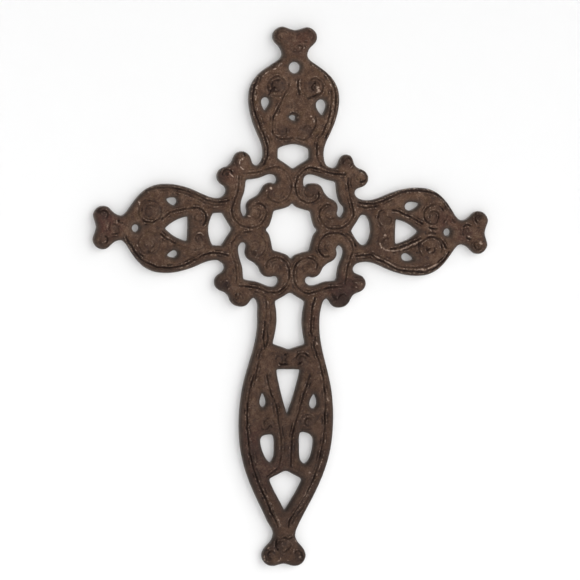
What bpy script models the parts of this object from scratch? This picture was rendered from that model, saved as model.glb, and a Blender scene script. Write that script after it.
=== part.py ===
"""Cast iron wall cross: a flat openwork casting of scrolls, hearts and volutes.

Metres, +Z up. The cross hangs upright with its flat back in the plane y = 0 and its
carved face towards -Y. The origin is the middle of the hanging hole, in the back plane.
The pattern is drawn in millimetres round the middle of the star-shaped opening and is
scaled to HEIGHT. Thickness, edges, grooves and drilled holes keep their own sizes.
"""

import math

import bpy
import numpy as np
from mathutils import Vector, geometry, kdtree

# Driving dimensions
HEIGHT = 0.380
THICKNESS = 0.0062
SIDE_WALL = 0.0024
EDGE_ROUND = 0.0028
HANGING_HOLE = 0.0078
HEAD_HOLE = 0.0050
GROOVE_DEPTH = 0.0011
GROOVE_WIDTH = 0.0030
FINE_GROOVE_DEPTH = 0.0006
FINE_GROOVE_WIDTH = 0.0020
DOME_HEIGHT = 0.0005

# Fineness of the facets. Lines are sampled at SAMPLE_STEP and then thinned to a tolerance.
# A ring of points follows every edge, a row follows each side of every groove, and a
# grid fills the rest.
SAMPLE_STEP = 0.00025
OUTLINE_TOLERANCE = 0.00018
GROOVE_TOLERANCE = 0.00026
LONGEST_STEP = 0.0085
EDGE_RING = 0.0008
RING_CROWDED = 0.9
SHOULDER_CLEAR = 0.0014
FIELD_SPACING = 0.0072
POINTS_APART = 0.0017
RUN_GAP = 4 * SAMPLE_STEP
SHORTEST_RUN = 8 * SAMPLE_STEP
HOLE_FACETS = 48
DROP_FACETS = 36
MERGED_WITHIN = 1e-7
SHARP_ANGLE = 50

# The pattern, in millimetres on a cross of the height it was drawn at. A short arm is
# drawn as (distance from the middle, distance from the arm's axis), one side only.
FINIAL_NOTCH = 139.8
FOOT_NOTCH = 235.3
LOBE_TIP = 142.0
FOOT_LOBE_TIP = 236.9
# The three short arms share one drawing, but the casting's were not quite alike. Beyond
# CHANGE_FROM the top arm widens and leans, and each arm reaches a little further.
CHANGE_FROM = 50.0
CHANGE_FULL = 95.0
TOP_SPREAD = 1.055
TOP_LEAN = -0.010
ARM_REACH = {"top": 0.6, "left": 0.5, "right": 1.5, "bottom": 0.0}

SHORT_FINIAL = [(FINIAL_NOTCH, 0), (140.9, 4.6), (LOBE_TIP, 8.8), (140.6, 12.2), (138.0, 14.5), (135.0, 15.2),
                (132.2, 14.6), (129.8, 12.8), (127.3, 10.4), (124.4, 9.0), (121.6, 8.8), (119.4, 10.2)]
SHORT_BLADE = [(117.2, 12.9), (113.6, 18.2), (109.6, 23.2), (104.6, 27.4), (98.5, 30.2), (91.5, 31.2),
               (84.0, 30.8), (77.0, 29.3), (70.0, 26.9), (63.5, 24.0), (58.0, 22.2), (53.0, 21.9)]
SHORT_CORNER = [(48.9, 22.7), (46.2, 24.6), (45.2, 27.0), (46.4, 29.3), (49.4, 30.5), (52.4, 32.1),
                (54.4, 35.0), (54.6, 38.3), (53.0, 41.4), (50.3, 43.2), (47.8, 44.1)]
CORNER_NOTCH = 45.6
# The volute right of the top arm was cut smaller, and the bays left of the middle shallower.
SMALL_CORNER = [(49.0, 22.7), (46.2, 24.0), (44.6, 26.8), (44.5, 30.0), (46.6, 32.2), (50.0, 33.6),
                (52.6, 35.4), (53.7, 38.2), (52.8, 41.4), (50.3, 43.2), (47.8, 44.1)]
LEFT_CORNER = [(51.2, 22.7), (49.0, 24.4), (48.1, 26.8), (48.6, 29.2), (50.0, 30.5), (52.4, 32.1),
               (54.4, 35.0), (54.6, 38.3), (53.0, 41.4), (50.3, 43.2), (47.8, 44.1)]
SHORT_CORNERS = {("top", 1): SMALL_CORNER, ("left", 1): LEFT_CORNER, ("left", -1): LEFT_CORNER}
LONG_FOOT = [(FOOT_NOTCH, 0), (236.3, 4.4), (FOOT_LOBE_TIP, 8.4), (235.8, 12.2), (233.0, 14.9), (229.2, 15.9),
             (225.6, 14.8), (222.2, 12.2), (219.0, 9.4), (215.6, 8.0), (211.8, 8.4)]
LONG_BLADE = [(206.0, 10.9), (198.0, 14.9), (190.0, 19.1), (182.0, 23.0), (174.0, 26.4), (166.0, 29.2),
              (157.0, 31.5), (147.0, 33.0), (135.0, 33.6), (123.0, 33.1), (112.0, 31.7), (102.0, 29.4),
              (93.0, 26.9), (84.0, 24.4), (75.0, 22.6), (67.0, 21.9), (59.0, 22.1)]
LONG_LEFT_FULLER = 1.0
LONG_CORNER = [(53.0, 23.2), (49.6, 24.4), (48.0, 26.4), (49.2, 28.2), (52.0, 30.2), (54.0, 33.2),
               (54.1, 37.0), (52.9, 40.6), (50.4, 43.0), (47.9, 44.1)]

# Openings
STAR_HALF_POINT = [(18.8, 0), (16.5, 2.6), (14.8, 7.2), (13.3, 13.3)]
STAR_LOWER_STRETCH = 1.07
CRESCENT_OUTER = [(34.2, 34.2), (28.0, 35.0), (24.0, 35.9), (20.0, 37.4)]
CRESCENT_END = [(16.0, 39.0), (12.6, 39.2), (10.2, 37.9), (9.2, 35.5), (9.9, 33.3), (12.2, 32.6)]
CRESCENT_END_MIDDLE = 36.0
CRESCENT_INNER = [(15.0, 33.2), (18.0, 32.9), (20.6, 31.2), (22.2, 28.8), (23.3, 26.4), (24.8, 24.8)]
# The four crescents were not drawn alike. For each corner, first the upright and then the
# level half: how much further its end stops from the axis, how much its outer side lies
# inwards, how much the end's outer side does, and how far the end hooks back.
CRESCENT_CHANGES = {(1, 1): ((-1.5, 0.0, 0.0, 2.6), (0.5, 3.0, 1.6, 0.0)),
                    (-1, 1): ((2.4, -0.5, 0.3, 0.0), (0.4, 0.4, 2.2, 0.0)),
                    (-1, -1): ((-0.3, -0.7, -0.5, 0.0), (-0.2, 0.2, 0.9, 0.0)),
                    (1, -1): ((1.4, -0.3, 0.6, 0.0), (1.2, 0.9, 1.4, 0.0))}
WAIST_HOLE = [(43.2, 0), (50.4, 11.4), (57.0, 11.1), (59.2, 6.0), (60.2, 0)]
RIGHT_WAIST_HOLE = [(43.2, 0), (50.2, 11.3), (53.8, 11.0), (56.2, 7.0), (57.4, 0), (56.6, -5.0), (54.0, -9.4),
                    (51.0, -9.8), (48.0, -7.2)]
HEART_HOLE = [(74.6, 0), (74.9, 8.6), (79.6, 7.4), (85.4, 4.6), (91.0, 0)]
HEAD_HOLE_AT = 112.0
HANGING_HOLE_AT = 113.5
NECK_HOLE = [(44.0, 0), (50.1, 10.8), (57.0, 9.7), (65.0, 9.3), (73.0, 10.3), (80.0, 11.8), (83.8, 0)]
LONG_HEART_HOLE = [(98.0, 0), (98.2, 8.6), (104.0, 7.6), (112.0, 5.6), (120.5, 3.2), (129.6, 0)]
KITE_HOLE = [(169.6, 0), (172.0, 5.4), (175.4, 11.9), (183.0, 8.6), (191.0, 4.0), (197.4, 0)]
D_HOLE = [(142.6, 10.0), (143.6, 16.6), (146.6, 19.2), (152.5, 19.2), (158.0, 18.2), (162.4, 16.2),
          (164.2, 13.2), (161.8, 10.4), (152.0, 9.2)]
LEFT_D_HOLE = [(144.6, 10.2), (144.8, 16.6), (147.0, 18.9), (152.0, 18.5), (157.5, 16.6), (161.8, 14.0),
               (163.4, 11.6), (160.8, 9.4), (152.0, 8.8)]
D_HOLES = {1: D_HOLE, -1: LEFT_D_HOLE}
SOFTNESS = 2.2
FLAW_SOFTNESS = 1.2
FLAW_HOLE = [(77.2, -1.6), (78.9, -3.6), (80.4, -1.8), (80.0, 0.9), (78.0, 1.4), (76.6, 0.2)]
# Pierced drops: arm, distance out, distance across, length, width and the turn of the
# pointed end. The taper narrows that end, and the fullness squares the sides a little.
DROP_TAPER = 0.42
DROP_FULLNESS = 0.15
DROPS = [("right", 86.0, 18.4, 10.2, 5.4, 14), ("right", 83.6, -18.2, 8.4, 4.8, -14),
         ("left", 86.6, 19.4, 7.6, 4.8, 16), ("left", 85.2, -17.9, 7.4, 4.4, -14),
         ("top", 88.0, -20.0, 8.6, 5.4, 186), ("top", 86.2, 18.9, 10.6, 6.6, 172),
         ("bottom", 119.8, -18.0, 9.6, 4.4, 184), ("bottom", 120.4, 18.8, 10.0, 5.2, 176)]

# Grooves of a short arm and its heart, one side each
RIM_GROOVE = [(118.8, 6.6), (116.2, 10.2), (113.4, 15.0), (109.8, 20.0), (105.0, 24.5), (99.0, 27.6),
              (92.0, 28.7), (85.0, 28.3), (78.0, 26.6), (71.0, 23.7), (64.5, 20.2), (58.5, 18.4),
              (52.5, 18.2), (47.5, 19.4)]
RIM_LINE = [(111.2, 13.4), (107.4, 18.0), (103.0, 22.0), (97.8, 24.7), (91.8, 25.9), (85.2, 25.5),
            (78.6, 23.9), (71.8, 21.2), (65.0, 18.0), (58.5, 16.2)]
HEART_GROOVE = [(64.4, 1.2), (62.8, 4.0), (62.3, 7.8), (63.4, 11.6), (66.2, 14.2), (70.2, 14.9), (75.0, 13.8),
                (80.0, 11.9), (85.0, 9.9), (90.0, 7.5), (94.0, 5.2), (97.6, 2.7), (101.4, 1.6), (105.4, 2.5),
                (109.0, 4.8), (111.8, 8.2), (113.4, 12.4)]
SCROLL_GROOVE = [(94.0, 5.2), (92.7, 8.4), (92.8, 12.0), (94.4, 15.6), (97.4, 18.6)]
SCROLL_EYE = (100.6, 13.4, 2.8, -170, 150)
HEART_EYE = (70.0, 8.6, 3.2, -60, 150)
TOP_HEART_GROOVE = [(64.4, 1.2), (63.0, 4.6), (63.6, 9.6), (66.0, 13.6), (70.4, 15.2), (76.0, 14.6),
                    (81.0, 12.9), (86.0, 10.6), (91.0, 8.3), (95.0, 6.2), (99.0, 4.6), (103.0, 4.0),
                    (107.0, 4.8), (110.0, 7.4)]
TOP_SCROLL_GROOVE = [(91.0, 8.3), (91.4, 11.2), (92.8, 14.2), (95.2, 17.0), (98.6, 19.2)]
NECK_COLLAR = [(130.0, 5.6), (126.6, 4.9), (124.8, 2.8), (124.5, 0)]
LOBE_EYE = (135.4, 9.6, 3.3, 20, 240)

# Grooves of a corner, one side of its diagonal
CORNER_GROOVE = [(15.8, 20.4), (11.0, 19.3), (6.5, 20.9), (3.1, 24.2), (1.6, 28.6), (1.7, 33.2),
                 (3.0, 37.4), (5.8, 41.0), (9.6, 43.4), (14.0, 43.8), (19.4, 42.2), (26.0, 40.3),
                 (32.5, 39.4), (38.6, 39.2)]
INNER_EYE = (15.6, 26.8, 3.4, -110, 130)
CORNER_EYE = (38.4, 48.6, 3.5, -40, 250)
SPIKE_GROOVE = [(24.6, 46.0), (29.0, 43.0), (33.2, 43.2)]

# Grooves of the long arm, one side each
LONG_RIM_GROOVE = [(209.0, 3.6), (203.5, 4.8), (197.0, 8.6), (190.0, 13.0), (182.0, 17.6),
                   (174.0, 21.4), (165.0, 24.6), (155.0, 26.9), (145.0, 28.3), (134.0, 28.7),
                   (122.0, 28.2), (111.0, 26.6), (101.0, 24.4), (92.0, 21.8), (84.0, 19.4),
                   (75.0, 17.6), (65.0, 17.0), (55.0, 17.2), (48.0, 18.4)]
LONG_RIM_LINE = [(174.0, 18.8), (164.5, 22.1), (154.5, 24.4), (144.5, 25.8), (134.0, 26.2),
                 (122.5, 25.7), (111.5, 24.1), (101.5, 21.8), (92.5, 19.3), (84.5, 16.8), (76.0, 15.1),
                 (66.0, 14.5), (55.0, 14.6)]
LONG_HEART_GROOVE = [(91.6, 0), (90.2, 3.4), (87.4, 7.0), (87.2, 11.0), (89.6, 14.4), (94.4, 16.2),
                     (101.0, 15.7), (108.0, 13.8), (115.0, 11.6), (122.0, 9.3), (129.0, 7.2),
                     (136.0, 5.3), (143.0, 4.1), (151.0, 3.7), (159.0, 3.6), (165.0, 4.0), (168.6, 7.2),
                     (172.2, 12.2), (176.0, 15.6)]
D_ARCH = [(140.4, 10.4), (136.6, 8.6), (133.0, 10.6), (131.6, 14.6), (133.4, 18.2), (138.2, 19.8)]
LONG_HEART_EYE = (93.4, 7.4, 2.8, -40, 170)
FOOT_COLLAR = [(226.4, 5.6), (225.8, 2.6), (225.6, 0)]
FOOT_COLLAR_UPPER = [(222.6, 5.4), (219.8, 4.6), (217.6, 2.6), (216.8, 0)]
FOOT_LOBE_EYE = (230.4, 9.6, 3.3, 20, 240)

# Raised rounds: out, across and radius in arm coordinates, and the same in a corner
SHORT_DOMES = [(102.2, 11.4, 8.4), (69.6, 8.2, 5.6), (135.3, 9.4, 5.4), (128.4, 0, 2.6)]
LONG_DOMES = [(93.6, 8.2, 5.0), (137.6, 14.4, 4.6), (230.2, 9.8, 5.6), (221.6, 0, 3.4)]
CORNER_DOMES = [(38.4, 48.6, 5.2), (15.6, 26.6, 6.0)]

DRAWN_HEIGHT = LOBE_TIP + ARM_REACH["top"] + FOOT_LOBE_TIP
SCALE = HEIGHT / DRAWN_HEIGHT


def spline(knots, closed=False, pieces=12):
    """Points along a centripetal Catmull-Rom curve through the knots."""
    k = np.array(knots, float)
    k = np.vstack([k[-1], k, k[0], k[1]]) if closed else np.vstack([2 * k[0] - k[1], k, 2 * k[-1] - k[-2]])
    t = np.linspace(0, 1, pieces, endpoint=False)[:, None]
    out = []
    for a, b, c, d in zip(k, k[1:], k[2:], k[3:]):
        ta, tb, tc = (math.dist(p, q) ** 0.5 for p, q in ((a, b), (b, c), (c, d)))
        start = ((b - a) / ta - (c - a) / (ta + tb) + (c - b) / tb) * tb
        end = ((c - b) / tb - (d - b) / (tb + tc) + (d - c) / tc) * tb
        out.append(b * (2 * t**3 - 3 * t**2 + 1) + start * (t**3 - 2 * t**2 + t)
                   + c * (3 * t**2 - 2 * t**3) + end * (t**3 - t**2))
    return np.vstack(out) if closed else np.vstack([*out, k[-2]])


def arc(x, y, radius, start, turn, pieces=24):
    """Points along an arc, its angles in degrees."""
    angle = np.radians(start + turn * np.linspace(0, 1, pieces))
    return np.column_stack([x + radius * np.cos(angle), y + radius * np.sin(angle)])


def mirrored(knots):
    """The half outline of an opening and its other side, in order."""
    back = [(a, -b) for a, b in reversed(knots) if b]
    return list(knots) + back


def spaced(line, step, closed=True):
    """The same line with its points evenly spaced, about a step apart."""
    p = np.vstack([line, line[:1]]) if closed else np.asarray(line, float)
    along = np.r_[0, np.cumsum(np.hypot(*np.diff(p, axis=0).T))]
    at = np.linspace(0, along[-1], max(3, round(along[-1] / step)) + 1)
    at = at[:-1] if closed else at
    return np.column_stack([np.interp(at, along, p[:, 0]), np.interp(at, along, p[:, 1])])


def softened(loop, softness, step=0.2):
    """A closed line with its corners rounded over about the softness, by two running means."""
    p = spaced(loop, step)
    half = max(1, round(softness / step / 4))
    for _ in range(2):
        p = sum(np.roll(p, shift, 0) for shift in range(-half, half + 1)) / (2 * half + 1)
    return p


def drop(length, width, turn):
    """A pierced drop, round at one end and pointed at the other, round its own middle."""
    a = np.linspace(0, 2 * math.pi, DROP_FACETS, endpoint=False)
    along = np.cos(a) * length / 2
    across = np.sin(a) * width / 2 * (1 - DROP_TAPER * np.cos(a)) * np.abs(np.sin(a)) ** DROP_FULLNESS
    c, s = math.cos(math.radians(turn)), math.sin(math.radians(turn))
    return np.column_stack([along * c - across * s, along * s + across * c])


def place(points, arm):
    """Arm coordinates (out, across) turned to the pattern's (x, z)."""
    p = np.array(points, float)
    change = np.clip((p[:, 0] - CHANGE_FROM) / (CHANGE_FULL - CHANGE_FROM), 0, 1)
    out = p[:, 0] + ARM_REACH[arm] * change
    across = p[:, 1]
    if arm == "top":
        lean = TOP_LEAN * np.maximum(out - CHANGE_FROM, 0)
        return np.column_stack([across * (1 + (TOP_SPREAD - 1) * change) + lean, out])
    if arm == "bottom":
        return np.column_stack([across, -out])
    return np.column_stack([out if arm == "right" else -out, across])


def hanging_point():
    """The middle of the hanging hole in metres, before the cross is moved to put it at the origin."""
    return place([(HANGING_HOLE_AT, 0)], "top")[0] * SCALE


def flank(arm, side):
    """One side of an arm's outline, from the notch in its tip to the corner beside it."""
    if arm == "bottom":
        fuller = LONG_LEFT_FULLER if side < 0 else 0.0
        knots = LONG_FOOT + [(a, b + fuller) for a, b in LONG_BLADE] + LONG_CORNER
    else:
        knots = SHORT_FINIAL + SHORT_BLADE + SHORT_CORNERS.get((arm, side), SHORT_CORNER)
    return place([(a, side * b) for a, b in knots], arm)


def outer_edge():
    """The outline of the whole cross as one closed loop, from the foot round to the right."""
    right, left = 1, -1
    loop = [flank("bottom", right), [(CORNER_NOTCH, -CORNER_NOTCH)], flank("right", -1)[::-1]]
    loop += [flank("right", 1)[1:], [(CORNER_NOTCH, CORNER_NOTCH)], flank("top", right)[::-1]]
    loop += [flank("top", left)[1:], [(-CORNER_NOTCH, CORNER_NOTCH)], flank("left", 1)[::-1]]
    loop += [flank("left", -1)[1:], [(-CORNER_NOTCH, -CORNER_NOTCH)], flank("bottom", left)[:0:-1]]
    return spline(np.vstack(loop), closed=True)


def star_hole():
    """Four points on the axes and four corners, with sides that bow inwards."""
    side = spline(STAR_HALF_POINT)
    quarter = np.vstack([side[:-1], side[:0:-1, ::-1]])
    loop = [quarter @ np.array([[c, s], [-s, c]]) for c, s in ((1, 0), (0, 1), (-1, 0), (0, -1))]
    star = np.vstack(loop)
    return np.where(star < 0, star * (1, STAR_LOWER_STRETCH), star)


def crescent_half(corner, shift, inwards, end_inwards, hook):
    """Half a crescent, from its outer corner round its end to the middle of its inner side."""
    outer = [corner] + [(a, b - inwards) for a, b in CRESCENT_OUTER[1:]]
    end = [(a + shift, b - (end_inwards if b > CRESCENT_END_MIDDLE else 0)) for a, b in CRESCENT_END]
    a, b = end[-2]
    end[-2] = (a, b - hook)
    return spline(outer + end + CRESCENT_INNER)


def crescent_hole(right, up):
    """The bent opening of one corner, in two halves that meet on the corner's diagonal."""
    upright, level = CRESCENT_CHANGES[right, up]
    x = CRESCENT_OUTER[0][0] - level[1]
    z = CRESCENT_OUTER[0][1] - upright[1]
    first = crescent_half((x, z), *upright)
    second = crescent_half((z, x), *level)
    return np.vstack([first, second[-2:0:-1, ::-1]]) * (right, up)


def openings():
    """Every hole that goes through, as closed loops in the pattern's millimetres."""
    loops = [star_hole()]
    loops += [crescent_hole(x, z) for x in (-1, 1) for z in (-1, 1)]
    loops += [place(mirrored(WAIST_HOLE), arm) for arm in ("top", "left")]
    loops.append(place(RIGHT_WAIST_HOLE, "right"))
    loops += [place(mirrored(HEART_HOLE), arm) for arm in ("left", "right")]
    loops += [place(mirrored(knots), "bottom") for knots in (NECK_HOLE, LONG_HEART_HOLE, KITE_HOLE)]
    loops = [softened(loop, SOFTNESS) for loop in loops]
    loops.append(softened(place(FLAW_HOLE, "top"), FLAW_SOFTNESS))
    for side, knots in D_HOLES.items():
        loops.append(place(spline([(a, side * b) for a, b in knots], closed=True), "bottom"))
    for arm, out, across, length, width, turn in DROPS:
        loops.append(place(drop(length, width, turn) + (out, across), arm))
    for arm, out, diameter in (("top", HANGING_HOLE_AT, HANGING_HOLE), ("left", HEAD_HOLE_AT, HEAD_HOLE),
                               ("right", HEAD_HOLE_AT, HEAD_HOLE)):
        loops.append(place(arc(out, 0, diameter / 2 / SCALE, 0, 360, HOLE_FACETS + 1)[:-1], arm))
    return loops


def short_arm_grooves(heart, scroll):
    """Deep and fine grooves of a short arm, in arm coordinates, one side."""
    deep = [spline(RIM_GROOVE), spline(heart), spline(scroll), arc(*SCROLL_EYE), spline(NECK_COLLAR)]
    fine = [spline(RIM_LINE), arc(*HEART_EYE), arc(*LOBE_EYE)]
    return deep, fine


def long_arm_grooves():
    """The same for the long arm."""
    deep = [spline(LONG_RIM_GROOVE), spline(LONG_HEART_GROOVE), spline(D_ARCH), spline(FOOT_COLLAR)]
    fine = [spline(LONG_RIM_LINE), arc(*LONG_HEART_EYE), arc(*FOOT_LOBE_EYE), spline(FOOT_COLLAR_UPPER)]
    return deep, fine


def corner_grooves():
    """The same for one corner, one side of its diagonal, as (x, z)."""
    deep = [spline(CORNER_GROOVE), arc(*CORNER_EYE)]
    fine = [arc(*INNER_EYE), spline(SPIKE_GROOVE)]
    return deep, fine


def grooves():
    """All grooves as (line, is it deep) in the pattern's millimetres."""
    found = []
    level = short_arm_grooves(HEART_GROOVE, SCROLL_GROOVE)
    sets = {"top": short_arm_grooves(TOP_HEART_GROOVE, TOP_SCROLL_GROOVE), "left": level, "right": level,
            "bottom": long_arm_grooves()}
    for arm, both in sets.items():
        for is_deep, lines in zip((True, False), both):
            found += [(place(line * (1, side), arm), is_deep) for line in lines for side in (-1, 1)]
    for is_deep, lines in zip((True, False), corner_grooves()):
        for line in lines:
            for x in (-1, 1):
                for z in (-1, 1):
                    found += [(line * (x, z), is_deep), (line[:, ::-1] * (x, z), is_deep)]
    return found


def domes():
    """All raised rounds as (x, z, radius) in the pattern's millimetres."""
    found = set()
    for arm in ("top", "left", "right", "bottom"):
        for out, across, radius in LONG_DOMES if arm == "bottom" else SHORT_DOMES:
            found |= {(*place([(out, side * across)], arm)[0], radius) for side in (-1, 1)}
    for a, b, radius in CORNER_DOMES:
        found |= {(x * p, z * q, radius) for x in (-1, 1) for z in (-1, 1) for p, q in ((a, b), (b, a))}
    return sorted(found)


def thinned(line, tolerance, closed=False):
    """The fewest points of a line that stay within a tolerance of it and a longest step apart."""
    p = np.vstack([line, line[:1]]) if closed else line
    keep = {0, len(p) - 1}
    spans = [(0, len(p) // 2), (len(p) // 2, len(p) - 1)] if closed else [(0, len(p) - 1)]
    while spans:
        a, b = spans.pop()
        keep |= {a, b}
        if b - a < 2:
            continue
        chord, away = p[b] - p[a], p[a + 1 : b] - p[a]
        length = math.hypot(*chord)
        off = np.abs(away[:, 0] * chord[1] - away[:, 1] * chord[0]) / max(length, 1e-9)
        if off.max() > tolerance:
            middle = a + 1 + int(off.argmax())
            spans += [(a, middle), (middle, b)]
        elif length > LONGEST_STEP:
            spans += [(a, (a + b) // 2), ((a + b) // 2, b)]
    kept = p[sorted(keep)]
    return kept[:-1] if closed else kept


def left_of(line, closed):
    """Unit vectors to the left of a line's direction, one for each of its points."""
    if closed:
        way = np.roll(line, -1, 0) - np.roll(line, 1, 0)
    else:
        way = np.gradient(line, axis=0)
    way /= np.hypot(*way.T)[:, None]
    return np.column_stack([-way[:, 1], way[:, 0]])


def area_of(loop):
    x, z = loop.T
    return (x * np.roll(z, -1) - z * np.roll(x, -1)).sum() / 2


class Nearest:
    """Distance from any point of the pattern to the nearest of a set of samples."""

    def __init__(self, samples):
        self.tree = kdtree.KDTree(len(samples))
        for index, (x, z) in enumerate(samples):
            self.tree.insert((x, z, 0), index)
        self.tree.balance()

    def __call__(self, points):
        found = [self.tree.find((x, z, 0)) for x, z in points]
        return np.array([f[2] for f in found]), np.array([f[1] for f in found], int)


class Relief:
    """The casting's plan and its height above the flat back, in metres."""

    def __init__(self):
        loops = [outer_edge() * SCALE, *(loop * SCALE for loop in openings())]
        turned = [loop if (area_of(loop) > 0) == (i == 0) else loop[::-1] for i, loop in enumerate(loops)]
        self.loops = [spaced(loop, SAMPLE_STEP) for loop in turned]
        self.edge = np.vstack(self.loops)
        self.inward = np.vstack([left_of(loop, True) for loop in self.loops])
        self.near_edge = Nearest(self.edge)
        lines = [(spaced(line * SCALE, SAMPLE_STEP, False), deep) for line, deep in grooves()]
        self.lines = [self.clear_run(line) for line, _ in lines]
        self.near_deep = Nearest(np.vstack([line for line, deep in lines if deep]))
        self.near_fine = Nearest(np.vstack([line for line, deep in lines if not deep]))
        self.domes = np.array(domes()) * SCALE

    def depth(self, points):
        """How far inside the metal each point lies, negative outside it."""
        distance, index = self.near_edge(points)
        side = ((points - self.edge[index]) * self.inward[index]).sum(1)
        return np.where(side < 0, -distance, distance)

    def clear_run(self, line):
        """The part of a groove that keeps off the edges."""
        return line[self.depth(line) > GROOVE_WIDTH / 2]

    def height(self, points, depth):
        """Straight side, quarter-round edge, then the face with its domes and grooves."""
        inset = np.clip(depth / EDGE_ROUND, 0, 1)
        rise = np.sqrt(1 - (1 - inset) ** 2)
        face = np.full(len(points), THICKNESS - DOME_HEIGHT)
        for x, z, radius in self.domes:
            across = np.hypot(points[:, 0] - x, points[:, 1] - z) / radius
            face += DOME_HEIGHT * np.clip(1 - across**2, 0, 1)
        deep = np.clip(1 - 2 * self.near_deep(points)[0] / GROOVE_WIDTH, 0, 1) ** 2 * GROOVE_DEPTH
        fine = np.clip(1 - 2 * self.near_fine(points)[0] / FINE_GROOVE_WIDTH, 0, 1) ** 2 * FINE_GROOVE_DEPTH
        return SIDE_WALL + (face - np.maximum(deep, fine) - SIDE_WALL) * rise


def runs_of(line):
    """A line cut wherever two of its samples are far apart, less the shortest pieces."""
    gaps = np.hypot(*np.diff(line, axis=0).T) > RUN_GAP
    runs = np.split(line, np.flatnonzero(gaps) + 1)
    return [run for run in runs if len(run) > SHORTEST_RUN / SAMPLE_STEP]


def spread_out(points, apart):
    """The points, less any that is too near an earlier one."""
    kept, taken = [], {}
    for point in points:
        cell = tuple((point // apart).astype(int))
        near = [q for i in (-1, 0, 1) for j in (-1, 0, 1) for q in taken.get((cell[0] + i, cell[1] + j), ())]
        if all(math.dist(point, q) >= apart for q in near):
            taken.setdefault(cell, []).append(point)
            kept.append(point)
    return np.array(kept)


def groove_points(relief, points, edges):
    """Adds the groove lines to the points and edges, and gives the loose points of their shoulders."""
    shoulders = []
    for line in relief.lines:
        for run in runs_of(line):
            thin = thinned(run, GROOVE_TOLERANCE)
            first = len(points)
            points += list(thin)
            edges += [(first + i, first + i + 1) for i in range(len(thin) - 1)]
            aside = left_of(thin, False) * GROOVE_WIDTH / 2
            shoulders += [*(thin + aside), *(thin - aside)]
    return np.array(shoulders)


def plan_points(relief):
    """Points and edges of the plan: the outlines, the grooves, then loose points between them."""
    points, edges, rings = [], [], []
    for loop in relief.loops:
        line = thinned(loop, OUTLINE_TOLERANCE, closed=True)
        first = len(points)
        points += list(line)
        edges += [(first + i, first + (i + 1) % len(line)) for i in range(len(line))]
        rings.append(thinned(loop + left_of(loop, True) * EDGE_RING, OUTLINE_TOLERANCE, closed=True))
    rims = len(points)
    shoulders = groove_points(relief, points, edges)
    grooved = Nearest(points[rims:])
    ring = np.vstack(rings)
    ring = ring[relief.depth(ring) > RING_CROWDED * EDGE_RING]
    shoulders = shoulders[relief.depth(shoulders) > SHOULDER_CLEAR]
    shoulders = shoulders[grooved(shoulders)[0] > POINTS_APART / 2]
    (x0, z0), (x1, z1) = relief.edge.min(0), relief.edge.max(0)
    grid = [(x, z) for x in np.arange(x0, x1, FIELD_SPACING) for z in np.arange(z0, z1, FIELD_SPACING)]
    grid = np.vstack([relief.domes[:, :2], grid])
    grid = grid[relief.depth(grid) > EDGE_ROUND]
    grid = grid[grooved(grid)[0] > POINTS_APART]
    loose = spread_out(np.vstack([ring, shoulders, grid]), POINTS_APART)
    return np.vstack([points, loose]), edges


def triangles(points, edges, relief):
    """The triangles of the plan that lie in the metal, counter-clockwise."""
    made = geometry.delaunay_2d_cdt([Vector(p) for p in points], edges, [], 0, MERGED_WITHIN)
    corners = np.array([tuple(v) for v in made[0]])
    faces = np.array(made[2])
    inside = relief.depth(corners[faces].mean(1)) > 0
    return corners, faces[inside]


def rim_edges(faces):
    """The directed edges that only one triangle has."""
    directed = {(int(a), int(b)) for face in faces for a, b in zip(face, np.roll(face, -1))}
    return [(a, b) for a, b in directed if (b, a) not in directed]


def cross_mesh():
    """The closed casting: carved front, straight sides and flat back."""
    relief = Relief()
    points, edges = plan_points(relief)
    front, front_faces = triangles(points, edges, relief)
    rim = sorted(rim_edges(front_faces))
    on_rim = sorted({a for a, _ in rim})
    number = {a: i for i, a in enumerate(on_rim)}
    back = front[on_rim]
    _, back_faces = triangles(back, [(number[a], number[b]) for a, b in rim], relief)
    height = relief.height(front, np.maximum(relief.depth(front), 0))
    height[on_rim] = SIDE_WALL
    hang_x, hang_z = hanging_point()
    corners = [(x - hang_x, -y, z - hang_z) for (x, z), y in zip(front, height)]
    corners += [(x - hang_x, 0.0, z - hang_z) for x, z in back]
    first = len(front)
    faces = [tuple(map(int, face)) for face in front_faces]
    faces += [tuple(int(first + i) for i in face[::-1]) for face in back_faces]
    faces += [(b, a, first + number[a], first + number[b]) for a, b in rim]
    used = sorted({i for face in faces for i in face})
    renumber = {old: new for new, old in enumerate(used)}
    mesh = bpy.data.meshes.new("wall_cross")
    mesh.from_pydata([corners[i] for i in used], [], [[renumber[i] for i in face] for face in faces])
    mesh.shade_smooth()
    mesh.set_sharp_from_angle(angle=math.radians(SHARP_ANGLE))
    return mesh


def cast_iron():
    """Dark brown, lightly rusted iron."""
    material = bpy.data.materials.new("cast_iron")
    material.use_nodes = True
    shader = material.node_tree.nodes["Principled BSDF"]
    shader.inputs["Base Color"].default_value = (0.055, 0.036, 0.026, 1)
    shader.inputs["Metallic"].default_value = 0.35
    shader.inputs["Roughness"].default_value = 0.62
    return material


def main():
    for old in list(bpy.data.objects):
        bpy.data.objects.remove(old, do_unlink=True)
    cross = bpy.data.objects.new("wall_cross", cross_mesh())
    cross.data.materials.append(cast_iron())
    bpy.context.scene.collection.objects.link(cross)


main()
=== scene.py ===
"""Looks of the cast iron wall cross: its fine relief, worn iron, a pale wall and soft light.

Metres, in the frame's axes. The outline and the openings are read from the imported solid, so
the dressed casting keeps its form. The relief is drawn in millimetres round the middle of
the star-shaped opening and is placed and scaled from the solid's box.
"""

import math

import bpy
import numpy as np
from mathutils import Matrix, Vector, geometry, kdtree, noise


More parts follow.
